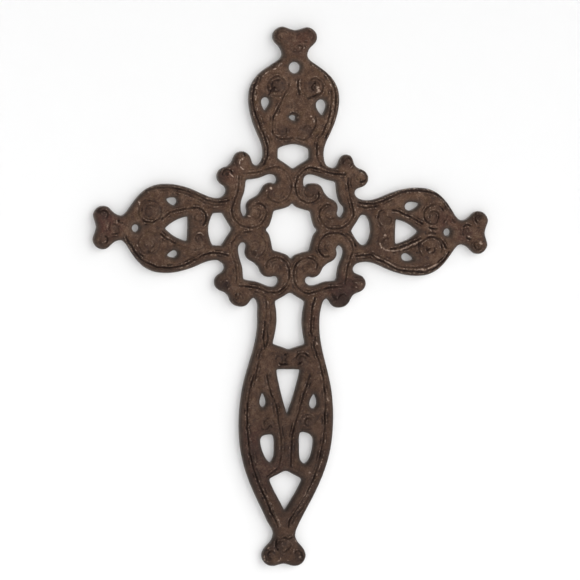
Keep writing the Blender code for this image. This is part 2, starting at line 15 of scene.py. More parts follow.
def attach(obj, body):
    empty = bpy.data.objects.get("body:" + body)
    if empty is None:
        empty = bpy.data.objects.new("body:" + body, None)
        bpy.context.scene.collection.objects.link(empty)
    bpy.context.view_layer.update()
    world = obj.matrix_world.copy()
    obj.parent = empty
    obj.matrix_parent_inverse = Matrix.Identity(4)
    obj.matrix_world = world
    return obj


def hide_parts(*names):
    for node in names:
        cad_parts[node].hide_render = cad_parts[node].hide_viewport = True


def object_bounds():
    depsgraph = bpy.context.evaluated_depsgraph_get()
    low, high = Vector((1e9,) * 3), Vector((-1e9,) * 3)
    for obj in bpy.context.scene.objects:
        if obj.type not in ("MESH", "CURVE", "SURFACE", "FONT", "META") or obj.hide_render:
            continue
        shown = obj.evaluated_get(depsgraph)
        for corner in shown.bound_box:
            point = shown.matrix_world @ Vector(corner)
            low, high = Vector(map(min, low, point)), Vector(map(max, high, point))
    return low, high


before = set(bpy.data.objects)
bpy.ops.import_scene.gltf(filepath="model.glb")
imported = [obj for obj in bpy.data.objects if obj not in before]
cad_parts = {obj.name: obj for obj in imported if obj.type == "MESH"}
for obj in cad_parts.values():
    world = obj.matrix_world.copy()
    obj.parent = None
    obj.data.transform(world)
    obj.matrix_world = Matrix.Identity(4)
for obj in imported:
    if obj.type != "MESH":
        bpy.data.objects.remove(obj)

NODE = "wall_cross"
LOW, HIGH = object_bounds()
MM = 0.001

# Levels of the casting above its back
SIDE_WALL = 2.4 * MM
FACE_LEVEL = 5.3 * MM
TOP_LEVEL = 6.15 * MM
DOME_HEIGHT = 0.8 * MM
EDGE_ROUND = 2.8 * MM
BACK_CHAMFER = 0.3 * MM

# Carved lines: a narrow core in a wide soft hollow, which starts and ends shallow
GROOVE_DEPTH = 1.5 * MM
GROOVE_CORE = 1.4 * MM
GROOVE_WIDTH = 4.2 * MM
LINE_INSET = 0.9 * MM
LINE_END = 1.2 * MM
END_STRENGTH = 0.35
FEWEST_INSIDE = 4
FEWEST_SAMPLES = 6
# Pits and hollows, as shares of a groove's depth
PIT_DEPTH = 0.9
HOLLOW_DEPTH = 0.17
# A faint broken second line beside each carved one
TWIN_AWAY = 1.95 * MM
TWIN_HALF = 0.38 * MM
TWIN_STRENGTH = 0.62
TWIN_LUMP = 5 * MM
# A beaded ridge nearer to it, and the bright worn lines that are drawn one by one
RIDGE_AWAY = 1.1 * MM
RIDGE_HALF = 0.4 * MM
RIDGE_STRENGTH = 0.9
BEAD = 1.1 * MM
BRIGHT_HEIGHT = 0.34 * MM
BRIGHT_HALF = 0.45 * MM
# How unevenly lines are cut, with the size of the lumps that decide it
CARVED_UNEVEN = (0.5, 2.2 * MM)
BRIGHT_UNEVEN = (1.2, 1.5 * MM)
LEAST_STRENGTH = 0.15
MOST_STRENGTH = 1.3
# How lines wander sideways: (size of the lumps, how far they go)
WANDER = ((3.0 * MM, 0.42 * MM), (1.2 * MM, 0.18 * MM))

# Casting skin: (size of the lumps, their height)
SKIN = ((11.0 * MM, 0.13 * MM), (4.5 * MM, 0.17 * MM), (2.0 * MM, 0.15 * MM))
SKIN_RANGE = 0.5 * MM
SMALL_LUMP = 1.6 * MM
RAGGED = 0.9 * MM
WALL_SKIN = 0.14 * MM
BACK_DIP = 0.45 * MM
BACK_PITTING = 0.25 * MM
# The walls get a painted grey reflection of the pale wall below SIDE_FROM and are fully brown above SIDE_TO
SIDE_FROM = 2.8 * MM
SIDE_TO = 4.7 * MM
# How far in from its edges the face gets painted shade
RIM_SHADE_WIDTH = 3.4 * MM
# How much of the walls' painted grey reflection and of the edges' painted shade the back has
BACK_SIDE = 0.15
BACK_BORDER = 0.2

# Fineness of the mesh
SAMPLE_STEP = 0.25 * MM
RIM_STEP = 0.75 * MM
RINGS = (0.3 * MM, 0.8 * MM, 1.5 * MM, 2.3 * MM)
RING_STEP = 0.85 * MM
GROOVE_ROWS = (0.0, 0.35 * MM, 0.75 * MM, 1.25 * MM, 1.95 * MM)
BRIGHT_ROWS = (0.0, 0.4 * MM, 0.85 * MM)
GROOVE_STEP = 0.7 * MM
SPOT_SPACING = 0.42 * MM
FIELD_SPACING = 1.05 * MM
POINTS_APART = 0.32 * MM
BACK_SPACING = 1.5 * MM
BACK_INSET = 1.2 * MM
OUTSIDE_ALLOWED = 0.02 * MM
SHARP_ANGLE = 55

# Where the drawing lies on the solid
DRAWN_HEIGHT = 379.5
SCALE = (HIGH[2] - LOW[2]) / DRAWN_HEIGHT
HANGING_HOLE_AT = 113.5
CHANGE_FROM = 50.0
CHANGE_FULL = 95.0
TOP_SPREAD = 1.055
TOP_LEAN = -0.010
ARM_REACH = {"top": 0.6, "left": 0.5, "right": 1.5, "bottom": 0.0}

# Carved lines of the face, as (strength, then x and z of each point), in the drawing's millimetres
TOP_LINES = [
    (1.0, -10.5, 119.3, -16, 115.9, -20, 113.3, -24, 110.2, -26.6, 107.2, -28.6, 103.8, -29.9, 100,
     -30.6, 96, -30.8, 91, -30.2, 86, -28.8, 81.5, -27.2, 77.5, -24.6, 71, -22.9, 68, -21.6, 65,
     -20.3, 61.5, -19.5, 58, -19.2, 54.5, -19.6, 51, -20.6, 48.3, -22.4, 45),
    (0.55, -27.6, 83, -25.6, 77, -24, 73, -22, 69.6, -20.2, 66.4, -18.6, 62.4, -17.4, 57.8),
    (0.8, 11, 118, 17, 114, 20.3, 111.7, 23.2, 108.9, 25.5, 105.6, 27.3, 101.8, 28.6, 98, 29.1, 94,
     29.2, 89, 28.6, 83.5, 27.1, 77.5, 25.4, 72, 23.4, 67.6, 22.2, 64.5),
    (0.7, 25.8, 100, 26, 95, 25.9, 90, 25.6, 85.5, 24.6, 80, 22.8, 74.6, 20.8, 69.4, 18.8, 66.3,
     17.2, 64.4, 16.4, 61, 16.1, 57, 16.4, 53.5, 17.4, 49.8, 20.4, 45),
    (0.7, -1, 64.9, -5, 64.1, -8.5, 63.8, -11.8, 64.3, -14.4, 65.8, -15.9, 68.6, -16.4, 72.3, -16.2, 76.3,
     -15.4, 80, -13.6, 83.6, -11.9, 87, -10.3, 90.2, -9, 93.2, -7.4, 96.2, -5.8, 98.9, -5, 102, -5.1, 105,
     -6.2, 108),
    (0.65, 1, 65.2, 3, 64.3, 6, 63.6, 9.2, 64.6, 11, 66.6, 12.6, 69.6, 14.6, 73, 15.2, 77, 14.4, 80.5),
    (0.4, 13, 83.5, 11, 87, 9.2, 90.5, 7.6, 94, 5.6, 97.6),
    (0.6, -6.3, 64.6, -6.1, 67, -6.5, 70, -5.8, 72),
    (1.0, 1.4, 106, 1.6, 103.6, 1.5, 101.5, 1.9, 98.6, 2.9, 94.6),
    (1.0, 14.3, 103.8, 12.7, 102.8, 11.4, 101.2, 11.8, 99.4, 13, 98),
    (0.9, 19.8, 99.2, 18.8, 97.2, 17, 95.6, 14.6, 94.6, 12, 93.9, 9.6, 92.9, 7.2, 93.4),
    (0.95, -14.6, 100.4, -17, 99, -17.9, 97.4, -18.8, 95.8, -20.2, 94.4),
    (0.35, -12, 104, -14.6, 104.6, -17.6, 103, -19.4, 100.4),
    (0.6, 0.2, 129.9, 2.6, 129.4, 4.1, 128.7, 3.2, 127.2, 2.2, 125.8, -0.6, 125, -3.2, 125.3),
    (0.9, -3.8, 80.6, -2.4, 81.9, -0.2, 82, 1.5, 81, 2, 79, 1.6, 77),
    (0.5, -3.8, 139, -3.4, 136.8),
    (0.45, -0.8, 135.8, 0.6, 137.4, 2.4, 138.4),
    (0.7, 7.4, 140.2, 10.2, 139.2),
    (0.6, 4.8, 132.4, 7.4, 131.6),
    (0.55, -13.6, 139.4, -14.8, 136.8, -14, 134, -11.4, 132.4),
    (0.45, 11.6, 138, 11.6, 135, 9.8, 132.8),
    (0.4, -3.6, 89.2, -2.4, 87.2, -2.7, 85),
    (0.3, -0.4, 89, 0, 86.4),
]
LEFT_LINES = [
    (0.8, -111, 22, -108.5, 24.2, -105, 26.1, -102, 27.3, -98, 28.3, -93, 28.6, -88, 28.6, -84, 28.1,
     -80, 27.1, -76, 26, -72, 24.6, -68, 22.9, -65, 21.4, -62, 20.2, -58, 19.2, -54, 18.8, -50, 19.2,
     -46, 20.4),
    (0.65, -97, 26, -92, 26.8, -86, 26.7, -81, 25.4, -76, 24, -71, 22, -66.5, 20, -63, 18.4, -59, 17.2,
     -54, 16.9, -50, 17.3),
    (1.0, -120, -5.4, -118.6, -8.2, -116.4, -11.6, -114, -14.8, -112, -17.6, -109.6, -20.4, -106.6, -22.9,
     -103, -24.6, -99.6, -25.9, -96, -27.3, -92, -27.1, -88, -27.7, -84, -26.8, -80.4, -26.3, -76, -24.8,
     -72, -22.6, -69, -21.2, -65.6, -19.2, -62.4, -17.8, -58.6, -16.7, -54, -16.8, -50, -17.2, -46, -18.6),
    (0.5, -108, -23.6, -103, -26.6, -98, -28.4, -92, -29, -85, -28.6),
    (0.9, -95, 6, -93, 7.8, -90, 10, -86, 12, -82, 12.9, -77, 13.8, -73, 14.4, -69, 14.8, -66, 13.8,
     -63.8, 11.8, -62.6, 9.2, -62.6, 6.2, -63.6, 3.8, -65, 2.2),
    (0.9, -95.4, -3.4, -92.4, -6, -89.4, -7.7, -86, -9.4, -83.6, -10.8),
    (0.4, -83, -11.2, -80, -12.2, -75, -13.6, -70, -14.6, -65.4, -13.8, -63.4, -11, -62.6, -8),
    (0.5, -109.4, 6.4, -111, 10, -110.6, 14.6, -108, 18.6, -104, 20.9, -99.6, 20.2),
    (0.8, -109, 6.6, -106.6, 4.9, -103, 4.2, -99.6, 4.7, -97, 6.4),
    (0.35, -98.6, 8, -97.2, 11, -97.8, 15, -100.4, 17.6),
    (0.35, -107, 13.6, -106.2, 10.6, -103.4, 8.8),
    (0.4, -111.2, -14.2, -112.8, -12.2, -112.2, -9.4, -110, -6, -106.6, -3.6, -102.6, -2.6, -99, -3.6),
    (0.45, -95.6, -8, -95.4, -12, -97, -15.6, -100, -17.6, -103.4, -17.2),
    (0.6, -71.4, -1.6, -70.4, -0.8),
    (0.6, -67.4, -4.4, -65.8, -6.4, -64.8, -9),
    (0.4, -71.8, 3.4, -70, 4.6, -69.2, 7),
    (0.9, -125.4, 5.9, -124.8, 4, -121.6, 3.7),
    (0.7, -130.6, -4.5, -127, -4, -124.4, -3.6),
    (0.6, -131.4, 3.6, -132, 0.4, -131.4, -3),
    (0.65, -125, 2.4, -125.5, -0.6, -124.8, -3.2),
    (0.6, -140.4, 9.6, -139.6, 12, -137.4, 13.4),
    (0.4, -136.4, 7, -133, 5.2),
    (0.55, -139.4, -9, -137.8, -12, -134, -13, -130.8, -11.4),
]
RIGHT_LINES = [
    (1.0, 46, 20.4, 50, 19.7, 54, 19.3, 58, 19.3, 61, 19.9, 64.6, 21, 68.6, 23, 72, 24.6, 75, 26.1,
     78, 27.3, 82, 28.4, 86, 28.9, 90, 29.1, 94, 28.9, 97, 28.5, 100, 27.9, 103, 27.2, 105.6, 25.9,
     108.4, 24.2, 111, 21.9, 113.2, 19.2, 115, 16.6, 116.6, 14),
    (0.9, 46, 18, 50, 17, 53, 16.6, 56, 16.8, 60, 17.6, 63, 18.8),
    (0.5, 94, 26.8, 98.6, 26.2, 101.4, 25.4),
    (0.7, 116, 9.7, 117.6, 8, 119, 6.8),
    (1.0, 46, -18, 50, -17, 54, -16.9, 56.6, -16.4, 59, -17.4, 62, -19.6, 65, -20.7, 68, -22.1, 72, -24.2,
     76, -26.2, 80, -27.3, 84, -27.8, 88, -28, 91, -28.1, 94, -28.4, 98, -28.2, 101, -27, 104, -25.6,
     107, -23.8, 109.4, -21.6, 111.6, -19.2, 113.4, -16.6, 115, -13.4),
    (0.6, 57, -15, 60, -16.2, 64, -18, 68, -19.8, 72, -21.6, 76, -23.4, 80, -24.8, 84, -25.2, 88, -25.1,
     91, -25.2, 94, -25, 97, -24.9, 100, -24, 103, -22.6),
    (0.9, 72, 15.2, 76, 14.6, 80, 12.8, 84, 11.2, 88, 9.4, 91, 7.7, 95.4, 5.2),
    (0.8, 66, 15.4, 63.8, 14.6, 62.2, 11.4, 62, 8, 63.4, 5, 65.6, 3.2),
    (0.3, 65, 15.2, 69, 15.4, 72, 15.2),
    (0.95, 94.6, -4.2, 91.4, -5.7, 88.6, -7, 86, -8.2, 82.4, -9.8, 78.6, -11, 75, -11.9, 71, -12.4),
    (0.65, 93, -8.4, 90, -9.8, 87, -10.9, 83, -12.4, 78, -14.2, 73, -15),
    (0.4, 62.8, -10, 62.2, -6.4, 63, -3),
    (0.35, 69.6, 6.4, 70.1, 2, 70.4, -1.4),
    (0.4, 97, 20, 98.8, 16.4, 98.4, 13.4, 100, 10.4),
    (0.6, 109.6, 6, 111.8, 9.6, 112.8, 13.4),
    (0.95, 99, 3.4, 102.6, 2.4, 106, 2.7),
    (0.3, 107, 12.6, 106, 8.6, 102.6, 7),
    (0.6, 96.4, -1.7, 99, -0.9, 102, -0.6, 105.2, -1.5),
    (0.9, 103.4, -3.4, 107, -4.5, 109.2, -6.3, 111.2, -8.9, 113, -11.8),
    (0.8, 92.6, -7, 92.3, -11, 93.2, -14.2, 95.4, -17.2),
    (0.9, 98.6, -13.8, 99.2, -12.3, 101, -11.7),
    (1.0, 124.6, 3.6, 126, 4.9, 128.6, 5.3, 131, 4.4),
    (0.8, 125.1, 3, 124.7, 0, 125.4, -2.4),
    (1.0, 126.4, -3.4, 128.6, -4.2, 130.8, -5),
    (0.8, 133.2, 12, 134.4, 14, 137.4, 14.2, 139.8, 12.6),
    (0.5, 134.6, 3.8, 137.4, 3),
    (0.4, 133.8, -7.4, 133.6, -10.4, 135.6, -12.6),
    (0.9, 114.6, 2.4, 115.6, 1.2, 115.8, -0.4),
]
# A corner's scroll and its eye as (x, z), copied by (strength, sign of x, sign of z, is it turned)
SCROLL = [
    (17.6, 27.6), (18.5, 24.2), (16.2, 20.8), (11.2, 19.2), (6.6, 20.8), (3.1, 24.2), (1.6, 28.6),
    (1.7, 33.2), (3, 37.4), (5.8, 41), (9.6, 43.5), (14, 44.1), (19.4, 42.6), (26, 40.6), (32.5, 39.7),
    (38.2, 39.5),
]
EYE = [(9, 30), (8, 26.6), (10, 23.8), (13.4, 24), (14.6, 26.6)]
SCROLLS = [
    (0.56, -1, 1, False), (0.68, -1, 1, True), (0.84, 1, 1, False), (0.76, 1, 1, True),
    (0.56, -1, -1, True), (0.74, -1, -1, False), (0.76, 1, -1, True), (0.78, 1, -1, False),
]
EYE_STRENGTH = 0.65
CORNER_LINES = [
    (0.6, -27, 43, -23, 44.9, -19.6, 46.6),
    (0.6, -31, 14, -29.6, 16.6, -27, 17),
    (0.9, -36.6, 53.4, -35.4, 51),
    (0.6, -41.6, 50.6, -42.2, 47.6, -41, 44.6),
    (0.9, -51.8, 38, -50.6, 40.8, -48, 41.8, -45.4, 41, -43.8, 38.6),
    (0.7, 18, 46, 23, 44, 28, 42.4, 33, 41.6),
    (0.65, 35.6, 51.6, 35, 48.6, 36, 45.8),
    (0.6, 38.6, 52.2, 41, 50.6, 41.8, 47.6),
    (1.0, 47, 42.4, 50, 42, 52.4, 40, 52.6, 37, 50.6, 34.8, 47.8, 34.6),
    (0.55, 46.6, 40, 45.4, 37.6, 46.6, 35.6),
    (0.6, -27, -43, -22, -45, -17.6, -47.4),
    (0.7, -41.8, -46.6, -41, -50, -38.4, -52, -35.2, -51.2),
    (0.9, 38.6, -1.4, 42.6, -4, 45.4, -8, 46.4, -11),
    (0.6, 44, -36, 47, -34.6, 50, -34.6, 53, -35.8),
    (0.55, 43.6, -38.8, 46.6, -40, 49.6, -42),
    (0.8, 29.4, -44, 31, -46.8, 33.6, -49),
    (0.6, 42, -46, 41, -50, 37.6, -52),
]
LONG_LINES = [
    (0.5, -18.8, -47, -17.8, -52, -17.4, -58, -17.8, -63.6),
    (0.85, -18.6, -64, -18.2, -68, -19, -72.6, -19.2, -77, -18.6, -80.4, -17.6, -84),
    (0.7, -17, -66, -16.6, -71, -16, -76, -16.6, -80, -17.8, -83.4),
    (0.5, -14.6, -55, -14.2, -60, -14.6, -66),
    (0.65, -19.8, -81, -21.4, -86, -22.6, -90.6),
    (0.7, -22.2, -92, -23.2, -97, -23.8, -101, -24.6, -106),
    (0.85, -25.4, -101, -27, -108, -28.4, -114, -29.2, -120, -29.6, -126, -29.6, -132, -29.4, -138,
     -29, -143, -28.4, -148, -27.8, -153, -27, -158, -25.6, -163, -24, -168, -22.2, -173, -20.2, -178,
     -18.4, -182.4, -16.2, -186.6, -14.2, -190.6, -12.4, -194.6, -10.8, -198.4, -8.8, -202, -6.6, -206,
     -5.4, -210),
    (0.5, -25.6, -154, -24.4, -160, -22.4, -166.6, -20.2, -172.6, -18, -177),
    (0.6, -15.8, -181.6, -13.8, -186),
    (0.95, 17.8, -46.6, 16.4, -51.6, 15.6, -56, 15.3, -61, 15, -66, 15.2, -70.4, 16, -75),
    (0.6, 18, -74, 18.6, -78.4),
    (0.75, 16.8, -77.6, 18.4, -83.6, 20.1, -88, 21.7, -92, 22.9, -96, 23.9, -100, 24.8, -104, 25.6, -109,
     26.3, -114, 26.8, -119, 27, -124, 26.8, -129, 27, -134, 26.8, -140, 26.4, -145, 25.8, -150,
     24.8, -155, 23.8, -160, 22.3, -166, 20.8, -171.4, 19.3, -176, 17.6, -180, 15.8, -184, 13.6, -188,
     11.2, -192.2, 8.8, -196, 6.2, -199.6, 4, -203, 2.8, -206, 2.2, -210),
    (0.6, 26.6, -153, 25.6, -157.6, 24.6, -161.4),
    (0.6, 18, -186, 15.4, -190, 12, -195.4, 8.8, -199.6, 6, -203.6, 4.4, -207.6),
    (0.9, -7.8, -93.2, -6, -94.5, -3.4, -94.2, -1, -94.2),
    (0.7, -3.6, -86.8, -2.2, -89, -3.4, -91.4, -1.6, -93.2),
    (1.0, 4.6, -90, 6.6, -87.4, 9, -86.5, 12, -86.9, 14.4, -89),
    (0.65, 6.8, -89, 9.8, -88.9, 12.6, -90.6),
    (0.8, 5.6, -94.1, 7.8, -93.6, 8.8, -92),
    (0.4, -5.4, -88.4, -9, -86.8, -12.8, -87.8, -15.2, -91),
    (0.7, -16, -101, -15.4, -105, -14.5, -110, -13.2, -114, -11.6, -118, -9.8, -121, -8.4, -125,
     -7.4, -129.6, -6.8, -135, -5.6, -141, -4.6, -148, -4.2, -154, -4.6, -160, -5.2, -164.4, -6.8, -167.6,
     -9.4, -169.8, -12.6, -171.8, -14.8, -174.4),
    (0.5, -12, -118, -11, -123, -10.6, -127, -9.4, -131.6),
    (0.78, 15.4, -101, 14.2, -105.4, 13, -109.4, 11.6, -113.6, 10.4, -117.6, 9.4, -121.4, 8.2, -126,
     6.9, -131, 5.4, -136, 4.2, -141, 3.4, -146, 3.2, -152, 3, -158, 2.8, -163, 3.4, -167),
    (0.35, 4.8, -167.4, 8.8, -169.8, 12.6, -171.8, 15.2, -175),
    (0.65, -19.8, -139, -18.4, -140.6, -14.8, -139.6, -12.8, -137.4, -11.2, -139.6),
    (0.35, -18.8, -136, -16.8, -132.6, -13.4, -131.8, -10.6, -134),
    (0.45, 9.2, -138, 8.9, -133.6, 11.4, -130.6, 15, -129.9, 18.4, -131.8, 19.9, -136),
    (0.7, 10.6, -139.6, 14, -140.4, 17.6, -139.6),
    (0.9, -5.6, -217, -6.6, -220.4, -6.2, -223.6, -4.4, -226),
    (0.9, -6.8, -216.2, -3.4, -217.6, -0.4, -216.4, 2.8, -217.8, 5.2, -216),
    (0.6, -3.8, -225.4, -1, -226.8, 2.4, -225, 4.3, -222.6, 3.8, -220),
    (0.8, -9.4, -226.8, -7.2, -228.4),
    (0.55, -14.2, -227.6, -13.4, -231.4, -10.2, -233.4),
    (0.5, 3.4, -226.4, 4.6, -229),
    (0.8, 12.9, -229, 13, -231.8, 11, -233),
    (0.6, 9, -226.4, 11.6, -226.2),
]
# Rings of the volutes, hearts and lobes, as (strength, x, z, radius, start, turn) in degrees
RINGS_DRAWN = [
    (0.75, 102.5, 11.6, 8.4, 20, 290), (0.7, 102.5, 11.4, 4.4, -60, 270), (0.7, 101.4, -12, 3.6, 150, 250),
    (0.85, 102.4, -12, 10.1, 200, -225), (0.5, -103, 11.6, 4.8, 20, 250), (0.5, -102.6, -10, 4.6, 160, 240),
    (0.55, -103, 12.2, 9.0, -60, 250), (0.55, -103, -11.2, 8.8, 90, 230), (0.7, -13.6, 100.6, 4.8, 60, 240),
    (0.6, 13.8, 99.6, 5.8, 150, -120), (0.6, -8.8, 70, 3.7, 160, 250), (0.6, 8.2, 70.4, 3.9, -70, 260),
    (0.65, -68, 7.6, 3.3, 100, 240), (0.6, -67.6, -7, 3.2, 20, 250), (0.6, 69, 8.2, 3.3, -120, 230),
    (0.6, 68.6, -8, 3.4, 60, 240), (0.55, -8, -91, 3, -40, 230), (0.5, 9.4, -91.4, 2.8, 190, -230),
    (0.5, -10.2, 136.2, 3.4, 30, 250), (0.5, 9.4, 135.8, 3.3, 150, -250), (0.8, -136, 9.2, 3.4, -70, 260),
    (0.75, -136, -8.6, 3.5, 70, -270), (0.85, 136.6, 9.8, 3.4, 250, -270),
    (0.7, 136.4, -9.2, 3.4, 110, 260), (0.75, -9.8, -229.4, 3.4, 20, 260),
    (0.75, 9.8, -229.2, 3.4, 160, -260), (0.8, 38.4, 48.2, 3.6, -60, 270), (0.6, -38, -48, 3.4, -10, 260),
    (0.5, -48, -38.2, 3.6, -80, 250), (0.55, 38, -48, 3.5, 190, -260), (0.5, 48, -38.2, 3.3, 260, -240),
    (0.5, -48.2, 38.2, 3, 60, 250), (0.65, 14.6, -135.4, 3.2, 30, 260),
    (0.62, -13.2, 101.4, 8.2, 300, -290), (0.6, 13.2, 100.8, 7.8, 235, 280),
    (0.65, -14.2, -136, 4.3, -20, 230), (0.5, 128.4, 0.4, 2.6, 70, 220), (0.45, -128.6, 0.4, 2.9, -90, 220),
]
# The rings wind in to this share of their radius
RING_IN = 0.66
RING_POINTS = 8

# Raised and worn bright: beaded lines beside the carved ones
BRIGHT_LINES = [
    (1.0, -10.4, 116.9, -12.8, 114.6),
    (0.8, -13.8, 113.4, -16.7, 112.4),
    (0.9, -18.6, 111.4, -20.8, 110.6, -22.6, 109, -24.6, 107.2),
    (0.9, -27.6, 101.6, -28.2, 99, -28.1, 97.4),
    (0.75, -28.6, 95, -28.7, 91.5, -28.2, 87.6, -27.2, 83.4),
    (0.6, -26.4, 79.6, -24.6, 75, -22.8, 71.4, -21.4, 68.3, -20.2, 65, -19.2, 61.6, -18.4, 58),
    (0.6, -18.3, 51, -18.9, 47.8),
    (0.8, 20, 109.4, 22.4, 107, 24.2, 104.2, 25.7, 101),
    (0.75, 27, 98.4, 27.5, 95.2),
    (1.0, 27.5, 91.4, 27.4, 87.8),
    (0.8, 27, 86.4, 26.6, 83.6),
    (0.3, 25.8, 79, 24.2, 75, 22.6, 71),
    (1.0, 3.2, 106.2, 2.7, 104, 2.8, 102, 2.9, 99),
    (0.9, -18.8, 94.8, -17.2, 94.9),
    (0.9, 11.4, 79.8, 12.8, 79.2, 13.3, 77.6, 13.9, 75.6),
    (0.4, 8.6, 69.4, 9.6, 67.4),
    (0.7, 6.2, 130.2, 5.6, 128.4, 5, 126.6),
    (0.9, -111.8, -10.2, -111.4, -13.2),
    (0.9, -70, -4, -68, -2.8, -66, -3, -64.6, -4, -63.8, -5.6),
    (0.35, -66.4, 6.4, -65.6, 9, -67.4, 11.4),
    (0.85, 59, -16.4, 62, -18, 65, -19.3, 68, -20.8, 72, -22.8, 75, -24.4, 78, -25.7, 81, -26.2,
     84, -26.5, 88, -26.6),
    (1.0, 91, -26.6, 94, -26.7, 97, -26.7, 100, -25.8, 103, -24.3, 106.6, -22),
    (0.9, 108.4, -20, 110.4, -17.9, 111.8, -15.6, 112.6, -12.6),
    (0.9, 95.4, -5.2, 91, -7.5, 88, -9, 84.6, -10.7, 80, -12.3, 76, -13.5, 72, -13.8, 69, -13.3,
     66, -11.8, 64.6, -10.2, 63.8, -8),
    (0.6, 98.4, -2.8, 101.6, -2.1, 104.4, -2.7),
    (0.6, 94.6, -9, 95.4, -6.2),
    (1.0, 99.4, -14.6, 100.7, -14.6, 100.8, -13),
    (1.0, 127.6, -2.4, 129.8, -3.1),
    (0.6, 127.2, 3, 128, 0.4),
    (0.4, 107.4, 21.6, 109.6, 19.4),
    (0.5, 97.8, 3.2, 102.4, 1.1, 107, 1.5),
    (0.9, -35.6, 50.6, -37.4, 50, -39.2, 48.4, -39.6, 46.2, -38.8, 44, -37, 42.4, -34.6, 41.6),
    (0.7, -47.8, 40.2, -45.6, 38.4, -43.4, 36.4),
    (0.8, -17.4, 29.4, -15.4, 28.4),
    (0.6, -33.4, 10.2, -30.2, 9.2),
    (0.5, 36.2, 48.6, 37.2, 47),
    (0.8, -39, -46.4, -37.8, -44.4),
    (0.6, -27, -14, -25.6, -15),
    (0.5, -45.8, -36.8, -47.6, -35.8),
    (0.6, 46, -36.6, 49, -36.4, 51.8, -37.6),
    (0.7, 45.4, -38.8, 48, -39.8),
    (0.4, 0, 25.6, 0.1, 34),
    (0.3, 1, -24, 0.6, -34),
    (0.4, -2.4, -90.4, -1.8, -91.8),
    (0.6, -23.4, -104.6, -24.2, -109),
    (0.6, 16.6, -75.8, 17.4, -78.6),
    (0.9, 19.4, -78, 19.9, -80),
    (1.0, 27.6, -114, 28.1, -117, 28.9, -119.8),
    (0.5, 23.6, -103, 24.4, -107.6),
    (1.0, 27.4, -147, 27.7, -150),
    (0.7, 25.6, -160.8, 24.2, -165.6, 22.8, -170.4),
    (0.9, 21.9, -171, 22.3, -173),
    (0.8, 14.8, -184.8, 12.9, -188),
    (0.8, 20, -176.6, 18, -181, 15.4, -185.6, 12.4, -190.8, 9.4, -195.6, 6.6, -199.8),
    (0.6, 4.8, -214, 6.6, -217.6, 9.8, -220.6),
    (0.7, -14.8, -229, -14, -232.4, -11, -234.2),
    (0.6, -1.4, -219, -2.6, -221.4, -1.2, -223.6),
    (0.4, -26.2, -147, -25.2, -155, -23.2, -162.6, -21, -169.6),
    (1.0, -14.4, -186.8, -12.2, -190.6, -10.6, -193.8, -9.2, -196.8),
    (1.0, -8.6, -198.2, -7.2, -200.8, -5.8, -203.2, -4.6, -205.6, -3.8, -209.4),
    (0.5, -9.8, -230.4, -9.4, -232.2),
    (0.7, -5.6, -233.6, -3.4, -232.4, -2.8, -230.2),
    (0.6, 1.4, -231.8, 3.4, -233.4),
]
# Pits, shallow hollows and small worn spots, as (x, z, radius)
PITS = [
    (-15.5, 79.6, 1.1), (9.8, 92.7, 1.2), (-18, 97.6, 1.2), (-125, 4.8, 1.3), (-103.6, -16.4, 1.6),
    (-139.2, 11.4, 1.8), (86.4, -7.9, 1.2), (136, 11.2, 2.2), (-28, -16.2, 2.5), (-47.8, -39, 2.8),
    (-36, 53.2, 1.4), (37.4, 39.9, 1.2), (31.4, -47, 2.4), (-48.6, 38.6, 1.6), (24.3, -159.2, 1.2),
    (-2.7, -87.4, 1.1), (7.2, -93.8, 1.1), (-6.2, -221.4, 1.3), (127.4, -3.8, 1.0),
]
HOLLOWS = [
    (38, -49, 7.5), (38, -49, 5), (-48, -39, 4.8), (44, -42, 4.5), (-34, -50, 3.6), (11, -141, 4),
    (0, -222, 5.5), (-4, 135, 4), (127, 0, 3.6), (-127.4, 0, 3.4), (-13, 101, 5), (13, 100, 5.5),
    (95, 0, 4), (-96, 1, 4), (68, 8, 3.6), (-68, -8, 3.6), (-8, 70, 4), (8, 70, 4), (-136, 10, 4),
    (136, -10, 3.6), (-10, -230, 3.8), (10, -230, 3.8), (0, -160, 5),
]
SPOTS = [
    (-16.6, 29.8, 0.9), (-19.6, 27.4, 0.7), (-25.6, -18, 0.7), (-7.6, -226, 0.9), (6.4, -225, 0.8),
    (-12, -224, 0.8), (137.6, -7.4, 1.5), (15.4, 100.3, 1.5), (16.6, 98.4, 1.5), (15.8, 96.9, 0.9),
    (-13.1, 81, 0.9), (11.8, 79.9, 0.8), (-110.9, 18, 1.1), (-110.4, 16.6, 0.7), (11.3, -230.5, 1.3),
    (17, -170.6, 0.8), (27.7, -149.2, 0.8), (29, -119.4, 0.8), (95.6, -26.6, 1.0), (105.4, -22.8, 0.9),
    (100.3, -14.4, 0.9), (-37.6, 49.4, 0.9), (4, 40, 0.7), (-16.6, -50.8, 0.8), (67.4, -3, 1.3),
    (-9.9, -195, 0.8), (19.8, -79.6, 0.8), (-4, -233.2, 0.9),
]

# Raised rounds: out, across and radius on an arm, and the same in a corner
SHORT_DOMES = [(102.2, 11.4, 8.4), (69.6, 8.2, 5.6), (135.3, 9.4, 5.4), (128.4, 0, 2.6)]
LONG_DOMES = [(93.6, 8.2, 5.0), (137.6, 14.4, 4.6), (230.2, 9.8, 5.6), (221.6, 0, 3.4)]
CORNER_DOMES = [(38.4, 48.6, 5.2), (15.6, 26.6, 6.0)]

# Redder rust, as (x, z, reach, strength)
RED_PATCHES = [
    (40, -47, 16, 1.0), (-135, 6, 13, 0.9), (4, 136, 13, 0.5), (22, -62, 9, 0.6), (-12, -168, 16, 0.7),
    (112, 8, 9, 0.6), (-48, 40, 9, 0.6), (-118, -22, 12, 0.6), (-26, -150, 12, 0.7), (126, -1, 7, 0.7),
]

